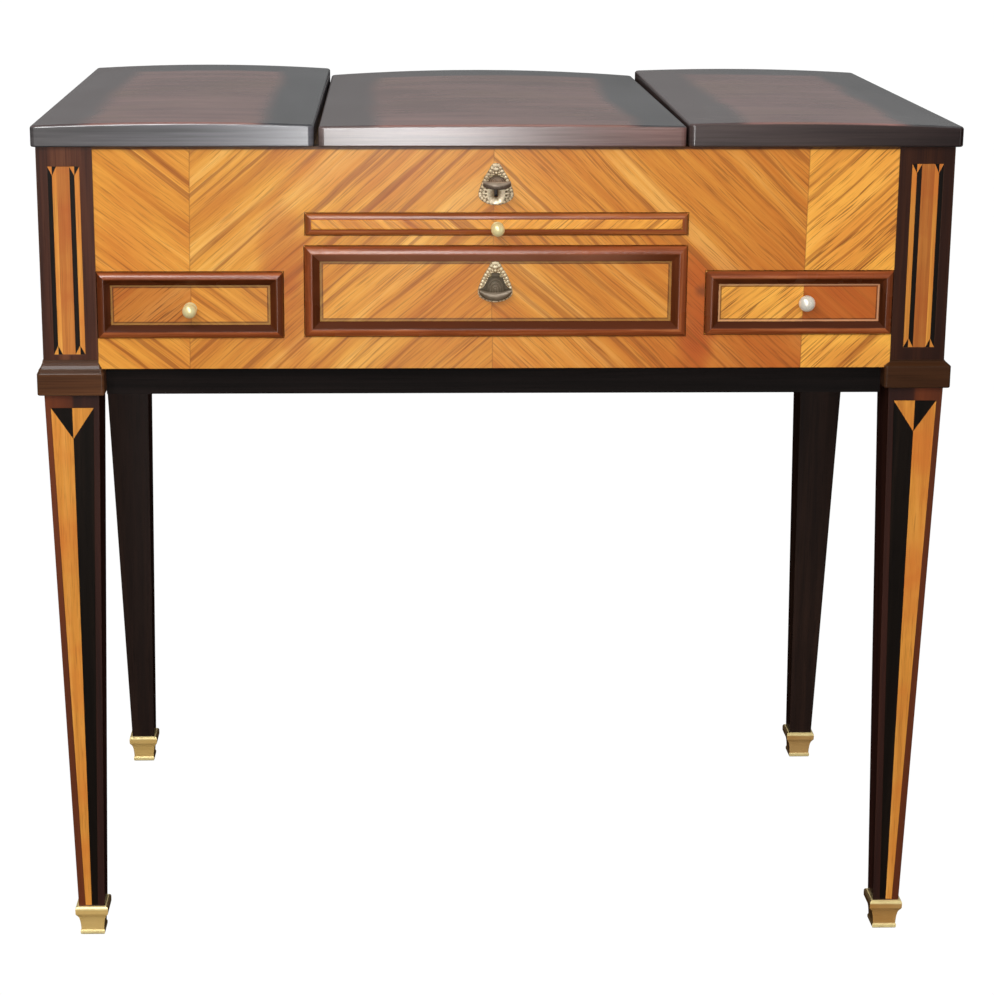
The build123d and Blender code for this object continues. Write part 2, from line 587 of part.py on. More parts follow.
# ---------------------------------------------------------------- turned knobs
# (name, x, z, face y, profile as (radius, height above the face))
knob_small = [(0, 0), (6.0, 0), (6.0, 0.8), (5.0, 1.5), (3.0, 2.1), (2.2, 3.2), (2.5, 4.8), (4.3, 6.4), (5.8, 8.4),
              (6.3, 10.6), (5.8, 12.8), (4.3, 14.6), (2.1, 15.6), (0, 15.9)]
knob_ball = [(0, 0), (4.2, 0), (4.2, 0.7), (3.0, 1.5), (2.3, 2.6), (2.5, 3.8), (4.8, 5.2), (6.6, 7.4), (7.2, 9.8),
             (6.8, 12.2), (5.2, 14.4), (2.8, 15.8), (0, 16.2)]
for name, kx, kz, ky, prof in (("drawer_left_knob", -268.8, 603.0, field_y, knob_small),
                               ("drawer_right_knob", 272.8, 608.8, field_y, knob_ball),
                               ("slide_knob", 0.2, 675.0, field_y - 4.7, knob_small)):
    scale = 1.0 if name != "slide_knob" else 0.95
    with BuildPart() as knob:
        with BuildSketch(Plane(origin=(kx, ky, kz), x_dir=(1, 0, 0), z_dir=(0, 0, -1))):
            # sketch y points to -Y of the row
            with BuildLine():
                pts = [(r * scale, h * scale) for r, h in prof]
                Polyline(*pts[:4])
                Spline(*pts[3:])
                Line(pts[-1], pts[0])
            make_face()
        revolve(axis=Axis((kx, ky, kz), (0, -1, 0)))
    knob.part.label = name
    export_step(knob.part, f"parts/{name}.step")

# ---------------------------------------------------------------- locks: case and sliding bolt
for name, z_low, z_top, z_key in (("lid_lock", 693.0, case_top, 709.5), ("drawer_lock", 606.5, open_center[3] - gap, 623.5)):
    with BuildPart() as lock_case:
        cube(lock_x - 26.0, lock_x + 26.0, field_y + 6.0, inside_y - 0.4, z_low, z_top)
        cube(lock_x - 9.3, lock_x + 9.3, field_y + 8.2, field_y + 13.8, z_top - 20.0, z_top + 1, mode=Mode.SUBTRACT)
        with Locations((lock_x, field_y + 9, z_key)):
            Cylinder(2.8, 6.5, rotation=(90, 0, 0), mode=Mode.SUBTRACT)
        cube(lock_x - 1.7, lock_x + 1.7, field_y + 5, field_y + 12, z_key - 8.0, z_key, mode=Mode.SUBTRACT)
    lock_case.part.label = name
    export_step(lock_case.part, f"parts/{name}.step")
    with BuildPart() as bolt:
        cube(lock_x - 9.0, lock_x + 9.0, field_y + 8.5, field_y + 13.5, z_top - 18.0, z_top - 0.4)
    bolt.part.label = f"{name}_bolt"
    export_step(bolt.part, f"parts/{name}_bolt.step")

# ---------------------------------------------------------------- keyhole plates and hinged drops
plate_half = [(0.0, 12.0), (2.8, 11.4), (4.6, 9.4), (5.8, 7.0), (7.6, 4.0), (9.8, 0.6), (11.6, -3.0), (13.2, -7.0), (14.6, -11.0),
              (15.3, -14.4), (15.2, -17.0), (13.8, -19.6), (11.0, -21.6), (7.4, -23.4), (3.6, -24.3), (0.0, -24.6)]   # from the pin's height
drop_half = [(0.0, 2.4), (3.0, 1.9), (5.2, 0.2), (6.3, -2.4), (6.7, -6.0), (7.6, -9.6), (9.8, -12.2), (12.8, -13.8), (14.4, -15.4),
             (14.5, -17.4), (12.8, -20.0), (9.6, -22.2), (5.0, -23.6), (0.0, -24.0)]
lip_half = [(0.0, -18.6), (5.0, -17.8), (10.0, -16.2), (13.8, -15.4), (13.8, -17.4), (12.2, -19.4), (9.2, -21.3), (4.8, -22.6), (0.0, -23.0)]
for name, z_pin, lift in (("upper", 719.4, drop_lift), ("lower", 633.4, 0.0)):
    y_pin = front_y - drop_pivot_out
    with BuildPart() as plate:
        with BuildSketch(Plane(origin=(lock_x, field_y, z_pin), x_dir=(1, 0, 0), z_dir=(0, -1, 0))):
            with BuildLine():
                Polyline(*plate_half)
                Polyline(*[(-x, y) for x, y in plate_half])
            make_face()
        extrude(amount=1.5)
        z_key = 709.5 if name == "upper" else 623.5
        with Locations((lock_x, field_y, z_key)):
            Cylinder(2.8, 8.0, rotation=(90, 0, 0), mode=Mode.SUBTRACT)
        cube(lock_x - 1.7, lock_x + 1.7, field_y - 4, field_y + 1, z_key - 8.0, z_key, mode=Mode.SUBTRACT)
        # two ears carry the drop's pin
        for s in (-1, 1):
            a, b = sorted((s * 3.4, s * 4.9))
            cube(lock_x + a, lock_x + b, y_pin - 1.2, field_y - 1.0, z_pin - 1.3, z_pin + 1.3)
        with Locations((lock_x, y_pin, z_pin)):
            Cylinder(0.6, 9.8, rotation=(0, 90, 0))
    plate.part.label = f"escutcheon_{name}"
    export_step(plate.part, f"parts/escutcheon_{name}.step")
    a = radians(lift)
    flat = Plane(origin=(lock_x, y_pin, z_pin), x_dir=(1, 0, 0), z_dir=(0, -cos(a), sin(a)))
    with BuildPart() as drop:
        for outline, back, out in ((drop_half, -0.9, 1.3), (lip_half, -0.9, 2.6)):
            with BuildSketch(flat.offset(back)):
                with BuildLine():
                    Polyline(*outline)
                    Polyline(*[(-x, y) for x, y in outline])
                make_face()
            extrude(amount=out - back)
        # the eye turns on the pin, and clears the ears
        for s in (-1, 1):
            block = Box(3.4, 6.4, 4.0, align=(Align.CENTER, Align.CENTER, Align.CENTER), mode=Mode.PRIVATE)
            add(flat.location * Location((s * 4.8, 0.0, 0)) * block, mode=Mode.SUBTRACT)
        with Locations((lock_x, y_pin, z_pin)):
            Cylinder(1.5, 6.2, rotation=(0, 90, 0))
            Cylinder(0.66, 8.0, rotation=(0, 90, 0), mode=Mode.SUBTRACT)
    drop.part.label = f"keyhole_drop_{name}"
    export_step(drop.part, f"parts/keyhole_drop_{name}.step")
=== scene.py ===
"""Looks for the poudreuse dressing table: materials, ornament, light and camera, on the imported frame."""
import bpy
import bmesh
import math
import numpy as np
from mathutils import Matrix, Vector


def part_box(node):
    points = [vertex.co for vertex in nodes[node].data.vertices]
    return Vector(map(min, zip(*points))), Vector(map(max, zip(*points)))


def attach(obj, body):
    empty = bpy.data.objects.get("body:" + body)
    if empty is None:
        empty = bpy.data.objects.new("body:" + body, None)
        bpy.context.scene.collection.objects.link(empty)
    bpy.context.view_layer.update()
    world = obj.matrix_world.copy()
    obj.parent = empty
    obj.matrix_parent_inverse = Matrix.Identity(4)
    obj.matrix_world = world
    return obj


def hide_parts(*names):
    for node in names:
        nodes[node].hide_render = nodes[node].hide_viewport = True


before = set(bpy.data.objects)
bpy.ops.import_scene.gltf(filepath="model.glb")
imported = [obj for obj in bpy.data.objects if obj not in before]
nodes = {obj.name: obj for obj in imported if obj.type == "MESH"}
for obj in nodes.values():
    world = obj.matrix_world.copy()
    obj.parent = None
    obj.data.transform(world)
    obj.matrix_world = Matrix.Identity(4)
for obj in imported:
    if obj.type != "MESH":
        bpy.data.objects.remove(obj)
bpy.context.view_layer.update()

# ------------------------------------------------------------------ measured places, in metres
LIP = 0.0046
front_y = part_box("corner_post_front_left")[0].y
back_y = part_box("corner_post_back_left")[1].y
field_y = front_y + 0.0005
hw = 0.399
inner = 0.3505
case_top = 0.7455
case_bot = 0.5494
# the middle of a leg, seen from the front: how far out it is at the floor, and its lean per metre of height
LEG_FOOT = (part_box("sabots")[1].x - 0.0153)
LEG_LEAN = ((0.399 + 0.3505) / 2 - LEG_FOOT) / 0.53


# ------------------------------------------------------------------ node helpers
class Mat:
    """A small builder for one procedural material."""

    def __init__(self, name):
        self.m = bpy.data.materials.new(name)
        self.m.use_nodes = True
        self.t = self.m.node_tree
        self.t.nodes.clear()
        self.out = self.t.nodes.new("ShaderNodeOutputMaterial")
        self.bsdf = self.t.nodes.new("ShaderNodeBsdfPrincipled")
        self.t.links.new(self.bsdf.outputs[0], self.out.inputs[0])
        self._pos = None

    def link(self, a, b):
        self.t.links.new(a, b)

    def put(self, socket, value):
        if isinstance(value, bpy.types.NodeSocket):
            self.link(value, socket)
        else:
            socket.default_value = value

    def pos(self):
        """Separate X, Y, Z of the object's own coordinates."""
        if self._pos is None:
            tc = self.t.nodes.new("ShaderNodeTexCoord")
            sep = self.t.nodes.new("ShaderNodeSeparateXYZ")
            self.link(tc.outputs["Object"], sep.inputs[0])
            self._pos = (tc.outputs["Object"], sep.outputs[0], sep.outputs[1], sep.outputs[2])
        return self._pos

    def math(self, op, a, b=None, c=None, clamp=False):
        n = self.t.nodes.new("ShaderNodeMath")
        n.operation = op
        n.use_clamp = clamp
        self.put(n.inputs[0], a)
        if b is not None:
            self.put(n.inputs[1], b)
        if c is not None:
            self.put(n.inputs[2], c)
        return n.outputs[0]

    def combine(self, x, y, z):
        n = self.t.nodes.new("ShaderNodeCombineXYZ")
        for i, v in enumerate((x, y, z)):
            self.put(n.inputs[i], v)
        return n.outputs[0]

    def noise(self, vec, scale, detail=4.0, rough=0.5, distort=0.0, colour=False):
        n = self.t.nodes.new("ShaderNodeTexNoise")
        self.link(vec, n.inputs["Vector"])
        n.inputs["Scale"].default_value = scale
        n.inputs["Detail"].default_value = detail
        n.inputs["Roughness"].default_value = rough
        n.inputs["Distortion"].default_value = distort
        return n.outputs["Color" if colour else "Fac"]

    def voronoi(self, vec, scale, feature="F1", out="Distance", random=1.0):
        n = self.t.nodes.new("ShaderNodeTexVoronoi")
        n.feature = feature
        self.link(vec, n.inputs["Vector"])
        n.inputs["Scale"].default_value = scale
        n.inputs["Randomness"].default_value = random
        return n.outputs[out]

    def ramp(self, fac, stops, interp="LINEAR"):
        n = self.t.nodes.new("ShaderNodeValToRGB")
        n.color_ramp.interpolation = interp
        e = n.color_ramp.elements
        while len(e) < len(stops):
            e.new(0.5)
        for el, (p, c) in zip(e, stops):
            el.position = p
            el.color = (*c, 1.0) if len(c) == 3 else c
        self.link(fac, n.inputs[0])
        return n.outputs[0]

    def range(self, v, a, b, c=0.0, d=1.0, smooth=False):
        n = self.t.nodes.new("ShaderNodeMapRange")
        n.interpolation_type = "SMOOTHSTEP" if smooth else "LINEAR"
        self.put(n.inputs["Value"], v)
        for k, x in zip(("From Min", "From Max", "To Min", "To Max"), (a, b, c, d)):
            n.inputs[k].default_value = x
        return n.outputs[0]

    def mix(self, fac, a, b, mode="MIX"):
        n = self.t.nodes.new("ShaderNodeMix")
        n.data_type = "RGBA"
        n.blend_type = mode
        self.put(n.inputs[0], fac)
        for s, v in ((n.inputs[6], a), (n.inputs[7], b)):
            self.put(s, (*v, 1.0) if isinstance(v, tuple) and len(v) == 3 else v)
        return n.outputs[2]

    def bump(self, height, strength=0.2, dist=0.001, normal=None):
        n = self.t.nodes.new("ShaderNodeBump")
        n.inputs["Strength"].default_value = strength
        n.inputs["Distance"].default_value = dist
        self.link(height, n.inputs["Height"])
        if normal is not None:
            self.link(normal, n.inputs["Normal"])
        return n.outputs[0]

    def bevel(self, radius=0.0015):
        n = self.t.nodes.new("ShaderNodeBevel")
        n.samples = 4
        n.inputs["Radius"].default_value = radius
        return n.outputs[0]

    def edge(self, radius=0.002):
        """1 along the edges of the piece, 0 on its faces."""
        geo = self.t.nodes.new("ShaderNodeNewGeometry")
        n = self.t.nodes.new("ShaderNodeVectorMath")
        n.operation = "DOT_PRODUCT"
        self.link(self.bevel(radius), n.inputs[0])
        self.link(geo.outputs["True Normal"], n.inputs[1])
        return self.range(n.outputs["Value"], 0.82, 0.995, 1.0, 0.0)

    def steps(self, masks, values):
        """A value that goes from values[k] to values[k + 1] where masks[k] goes from 0 to 1."""
        out = values[0]
        for k, s in enumerate(masks):
            if values[k + 1] != values[k]:
                out = self.math("MULTIPLY_ADD", s, values[k + 1] - values[k], out)
        return out

    def finish(self, color, rough, normal=None, metallic=None, **const):
        b = self.bsdf.inputs
        self.put(b["Base Color"], (*color, 1.0) if isinstance(color, tuple) else color)
        self.put(b["Roughness"], rough)
        if normal is not None:
            self.link(normal, b["Normal"])
        if metallic is not None:
            b["Metallic"].default_value = metallic
        for k, v in const.items():
            b[k].default_value = v
        return self.m


def lin(r, g, b):
    """sRGB 0-255 to linear."""
    return tuple(((c / 255 + 0.055) / 1.055) ** 2.4 if c > 10.3 else c / 255 / 12.92 for c in (r, g, b))


# ------------------------------------------------------------------ veneer with the grain set field by field
def veneer(name, joints, fields, strings=(), redder=None, knot=None, seed=0.0, rough=0.42, tone=1.0, blobs=(), lid_shadow=False):
    """Golden straight-grained veneer on a vertical face. joints are (x at z = 0.65, change of x with z).
    fields are (sign, angle, red, streak, fleck, gold, gain): the grain falls to the right (+1) or rises (-1) at its
    angle, with so much red, so many broad dark streaks and so many short dark flecks, gilded and lightened by the
    last two. blobs are redder patches
    (x, z, half width, half height, amount), and the last flag paints the lids' shadow as a darker strip just under the
    lids."""
    m = Mat(name)
    _, x, y, z = m.pos()
    masks = []
    for jx, slope in joints:
        masks.append(m.math("GREATER_THAN", x, m.math("MULTIPLY_ADD", z, slope, jx - 0.65 * slope)))
    A = m.steps(masks, [math.cos(math.radians(f[1])) for f in fields])
    B = m.steps(masks, [f[0] * math.sin(math.radians(f[1])) for f in fields])
    red, streaky, flecky, gold, gain = (m.steps(masks, [f[k] for f in fields]) for k in (2, 3, 4, 5, 6))
    off = m.steps(masks, [seed + 3.71 * k for k in range(len(fields))])
    # along the grain and across it
    u = m.math("SUBTRACT", m.math("MULTIPLY", x, A), m.math("MULTIPLY", z, B))
    v = m.math("ADD", m.math("MULTIPLY", x, B), m.math("MULTIPLY", z, A))

    def grain(su, sv, shift, detail=2.0, r=0.5):
        return m.noise(m.combine(m.math("MULTIPLY", u, su), m.math("MULTIPLY", v2, sv), m.math("ADD", off, shift)), 1.0, detail, r)

    v2 = v
    wander = grain(6.0, 16.0, 0.0)
    v2 = m.math("MULTIPLY_ADD", wander, 0.010, v)
    bands = grain(1.6, 36.0, 1.3, 2.0)
    g1 = grain(2.6, 95.0, 2.1, 3.0, 0.55)
    g2 = grain(9.0, 330.0, 4.0, 3.0, 0.6)
    g3 = grain(55.0, 1700.0, 6.0, 2.0, 0.6)
    dark = grain(4.2, 185.0, 9.5, 2.0, 0.5)
    fleck = grain(26.0, 820.0, 12.2, 2.0, 0.5)
    f = m.math("ADD", m.math("MULTIPLY", bands, 0.42), m.math("ADD", m.math("MULTIPLY", g1, 0.36), m.math("MULTIPLY", g2, 0.22)))
    col = m.ramp(f, [(0.34, lin(176 * tone, 98 * tone, 30 * tone)), (0.44, lin(205 * tone, 131 * tone, 44 * tone)),
                     (0.54, lin(223 * tone, 154 * tone, 58 * tone)), (0.65, lin(239 * tone, 180 * tone, 88 * tone))])
    col = m.mix(gold, col, lin(244, 190, 84))
    cloud = m.noise(m.combine(x, z, off), 13.0, 2.0, 0.5)
    col = m.mix(m.range(cloud, 0.38, 0.72, 0.0, 0.42), col, lin(198 * tone, 108 * tone, 38 * tone))
    if redder:
        x0, x1, z0, z1, k = redder
        r = m.math("MULTIPLY", m.range(x, x0, x1, 0.0, 1.0, True), m.range(z, z1, z0, 0.25, 1.0, True))
        r = m.math("MULTIPLY", r, m.math("SUBTRACT", 1.0, masks[-1])) if len(masks) > 2 else r
        red = m.math("MULTIPLY_ADD", r, k, red)
    for bx, bz, rx, rz, k in blobs:
        ex, ez = m.math("MULTIPLY_ADD", x, 1 / rx, -bx / rx), m.math("MULTIPLY_ADD", z, 1 / rz, -bz / rz)
        r = m.math("ADD", m.math("MULTIPLY", ex, ex), m.math("MULTIPLY", ez, ez))
        red = m.math("ADD", red, m.range(m.math("MULTIPLY_ADD", g1, 1.6, r), 0.9, 2.2, k, 0.0, True), clamp=True)
    col = m.mix(red, col, lin(176 * tone, 82 * tone, 30 * tone))
    col = m.mix(m.math("MULTIPLY", m.range(dark, 0.555, 0.645, 0.0, 0.72), streaky), col, lin(150, 80, 28))
    col = m.mix(m.math("MULTIPLY", m.range(fleck, 0.56, 0.66, 0.0, 0.80), flecky), col, lin(112, 58, 22))
    pores = m.math("MULTIPLY", m.range(g3, 0.32, 0.44, 1.0, 0.0), m.range(g2, 0.35, 0.6, 0.40, 0.05))
    col = m.mix(pores, col, lin(120, 66, 26))
    if any(f[6] != 1.0 for f in fields):
        col = m.mix(1.0, col, m.combine(gain, gain, gain), "MULTIPLY")
    if knot:
        kx, kz = knot
        dx, dz = m.math("SUBTRACT", x, kx), m.math("SUBTRACT", z, kz)
        d = m.math("SQRT", m.math("ADD", m.math("MULTIPLY", dx, dx), m.math("MULTIPLY", m.math("MULTIPLY", dz, dz), 1.6)))
        d = m.math("MULTIPLY_ADD", g1, 0.012, d)
        col = m.mix(m.range(d, 0.006, 0.016, 0.7, 0.0, True), col, lin(112, 62, 34))
    # fine glue lines at the joints
    for jx, slope in joints:
        d = m.math("ABSOLUTE", m.math("SUBTRACT", x, m.math("MULTIPLY_ADD", z, slope, jx - 0.65 * slope)))
        col = m.mix(m.range(d, 0.0002, 0.0008, 0.35, 0.0), col, lin(120, 66, 26))
    # stringing round a rectangle
    for (x0, x1, z0, z1), w, c, k in strings:
        dx = m.math("SUBTRACT", m.math("ABSOLUTE", m.math("SUBTRACT", x, (x0 + x1) / 2)), (x1 - x0) / 2)
        dz = m.math("SUBTRACT", m.math("ABSOLUTE", m.math("SUBTRACT", z, (z0 + z1) / 2)), (z1 - z0) / 2)
        d = m.math("ABSOLUTE", m.math("MAXIMUM", dx, dz))
        col = m.mix(m.math("MULTIPLY", m.math("LESS_THAN", d, w / 2), m.range(g2, 0.3, 0.7, k, k * 0.75)), col, c)
    # painted shadow: the strip just under the lids is darkened, standing in for the shade of their overhang
    if lid_shadow:
        col = m.mix(m.range(m.math("MULTIPLY_ADD", g1, 0.0008, z), case_top - 0.0030, case_top - 0.0012, 0.0, 0.9, True), col, lin(52, 24, 12))
    rgh = m.range(g1, 0.3, 0.7, rough + 0.06, rough - 0.03)
    nrm = m.bump(m.math("ADD", m.math("MULTIPLY", g3, 0.5), g2), 0.12, 0.0004)
    return m.finish(col, rgh, nrm, **{"Coat Weight": 0.28, "Coat Roughness": 0.19, "IOR": 1.45, "Specular IOR Level": 0.17})


# ------------------------------------------------------------------ plain straight-grained woods
def wood(name, dark, mid, light, along="z", fine=1.0, rough=0.35, coat=0.25, coat_rough=0.2, wear=None, seed=0.0, bump=0.1, bevel=0.0,
         dust=None, patch=None, patch_at=(0.45, 0.7), right=1.0, spec=0.25, outside=None, within=None):
    """right is how much darker the wood is painted towards the right-hand side of the table than at its left, a painted
    shade; outside and within are its colours on the outer and on the inner side of a leg."""
    m = Mat(name)
    vec, x, y, z = m.pos()
    axes = {"x": (1.6, 70, 70), "y": (70, 1.6, 70), "z": (70, 70, 1.6)}[along]
    fines = {"x": (14, 900, 900), "y": (900, 14, 900), "z": (900, 900, 14)}[along]
    g = m.noise(m.combine(*[m.math("MULTIPLY_ADD", c, s * fine, seed) for c, s in zip((x, y, z), axes)]), 1.0, 4.0, 0.6, 0.4)
    p = m.noise(m.combine(*[m.math("MULTIPLY_ADD", c, s * fine, seed) for c, s in zip((x, y, z), fines)]), 1.0, 2.0, 0.6)
    big = m.noise(m.combine(x, y, m.math("MULTIPLY_ADD", z, 0.6, seed)), 9.0, 3.0, 0.5)
    col = m.ramp(g, [(0.28, dark), (0.5, mid), (0.74, light)])
    col = m.mix(m.range(p, 0.32, 0.46, 0.45, 0.0), col, tuple(c * 0.45 for c in dark))
    col = m.mix(m.range(big, 0.35, 0.72, 0.0, 0.35), col, dark)
    if patch is not None:
        spot = m.noise(m.combine(x, y, m.math("ADD", z, seed)), 16.0, 3.0, 0.55)
        col = m.mix(m.range(spot, patch_at[0], patch_at[1], 0.0, 0.75), col, patch)
    if wear is not None:
        col = m.mix(m.math("MULTIPLY", m.edge(0.0022), m.range(big, 0.3, 0.65, 0.15, 0.8)), col, wear)
    if dust is not None:
        blot = m.noise(vec, 38.0, 4.0, 0.6)
        col = m.mix(m.range(blot, 0.5, 0.72, 0.0, 0.35), col, dust)
    if outside is not None:
        middle = m.math("MULTIPLY_ADD", z, LEG_LEAN, LEG_FOOT)
        k = m.range(m.math("SUBTRACT", m.math("ABSOLUTE", x), middle), -0.002, 0.002, 0.0, 1.0, True)
        col = m.mix(0.72, col, m.mix(k, m.mix(m.range(g, 0.3, 0.7, 0.0, 1.0), tuple(c * 0.6 for c in within), within),
                                     m.mix(m.range(g, 0.3, 0.7, 0.0, 1.0), tuple(c * 0.6 for c in outside), outside)))
    # painted shade: darker towards the right of the table
    if right != 1.0:
        col = m.mix(m.range(x, -0.30, 0.30, 0.0, 1.0 - right, True), col, tuple(c * 0.25 for c in dark))
    rgh = m.range(g, 0.3, 0.7, rough + 0.05, rough - 0.05)
    normal = m.bevel(bevel) if bevel else None
    nrm = m.bump(m.math("ADD", g, m.math("MULTIPLY", p, 0.6)), bump, 0.0005, normal)
    return m.finish(col, rgh, nrm, **{"Coat Weight": coat, "Coat Roughness": coat_rough, "IOR": 1.45, "Specular IOR Level": spec})


# ------------------------------------------------------------------ drawer mouldings: redder outside the crest, near black inside it
def moulding(name, rect, red, crest, inner, seed, turn=0.0040, width=0.0018, sides=0.5, pale=None):
    """sides is how much darker the upright members are painted than the others, a painted shade, and pale lightens the
    inside of the top member's middle, a painted reflection.
    """
    m = Mat(name)
    vec, x, y, z = m.pos()
    x0, x1, z0, z1 = rect
    dx = m.math("SUBTRACT", m.math("ABSOLUTE", m.math("SUBTRACT", x, (x0 + x1) / 2)), (x1 - x0) / 2)
    dz = m.math("SUBTRACT", m.math("ABSOLUTE", m.math("SUBTRACT", z, (z0 + z1) / 2)), (z1 - z0) / 2)
    d = m.math("MULTIPLY", m.math("MAXIMUM", dx, dz), -1.0)
    upright = m.math("GREATER_THAN", dx, dz)
    along_x = m.noise(m.combine(m.math("MULTIPLY_ADD", x, 9.0, seed), m.math("MULTIPLY", y, 260.0), m.math("MULTIPLY", z, 260.0)), 1.0, 3.0, 0.6)
    along_z = m.noise(m.combine(m.math("MULTIPLY_ADD", x, 260.0, seed), m.math("MULTIPLY", y, 260.0), m.math("MULTIPLY", z, 9.0)), 1.0, 3.0, 0.6)
    g = m.mix(upright, along_x, along_z)
    big = m.noise(vec, 22.0, 3.0, 0.5)
    d = m.math("ADD", d, m.math("MULTIPLY_ADD", big, 0.0012, -0.0006))
    k = m.range(d, turn - width / 2, turn + width / 2, 0.0, 1.0, True)
    outer = m.ramp(g, [(0.3, tuple(c * 0.62 for c in red)), (0.5, red), (0.72, crest)])
    inside = m.ramp(g, [(0.3, tuple(c * 0.6 for c in inner)), (0.5, inner), (0.74, tuple(c * 1.7 for c in inner))])
    # painted shade: the upright members' outer colour is darkened by the sides factor
    outer = m.mix(m.math("MULTIPLY", upright, 1.0 - sides), outer, tuple(c * 0.22 for c in red))
    # painted reflection: the inside of the top member is lightened in its middle, standing in for the haze of the lamps
    # mirrored there
    if pale is not None:
        mid = m.math("MULTIPLY", m.range(m.math("ABSOLUTE", m.math("ADD", x, -pale[0])), pale[1] * 0.5, pale[1], 0.75, 0.0, True),
                     m.math("MULTIPLY", m.math("GREATER_THAN", z, (z0 + z1) / 2), m.math("SUBTRACT", 1.0, upright)))
        inside = m.mix(mid, inside, pale[2])
    col = m.mix(k, outer, inside)
    col = m.mix(m.range(d, 0.0003, 0.0010, 0.7, 0.0), col, tuple(c * 0.4 for c in red))
    col = m.mix(m.range(big, 0.4, 0.7, 0.0, 0.4), col, tuple(c * 0.55 for c in red))
    low = m.math("LESS_THAN", z, z0 + (z1 - z0) * 0.3)
    low = m.math("MULTIPLY", m.math("MULTIPLY", k, low), m.math("SUBTRACT", 1.0, upright))
    col = m.mix(m.math("MULTIPLY", low, m.range(g, 0.3, 0.7, 0.95, 0.7)), col, tuple(c * 1.15 for c in inner))
    # the lower member's crest is rubbed dull
    crown = m.math("MULTIPLY", m.math("MULTIPLY", m.range(d, turn - 0.0030, turn - 0.0018, 0.0, 0.8, True), m.math("LESS_THAN", z, z0 + (z1 - z0) * 0.3)),
                   m.math("SUBTRACT", 1.0, upright))
    m.link(m.math("MULTIPLY", m.range(k, 0.0, 1.0, 0.72, 0.22), m.range(m.math("MAXIMUM", low, crown), 0.0, 1.0, 1.0, 0.1)), m.bsdf.inputs["Coat Weight"])
    nrm = m.bump(g, 0.06, 0.0004)
    return m.finish(col, m.math("MULTIPLY_ADD", low, 0.40, m.range(big, 0.3, 0.7, 0.24, 0.34)), nrm, **{"Coat Roughness": 0.20, "Coat IOR": 1.65, "IOR": 1.5, "Specular IOR Level": 0.12})
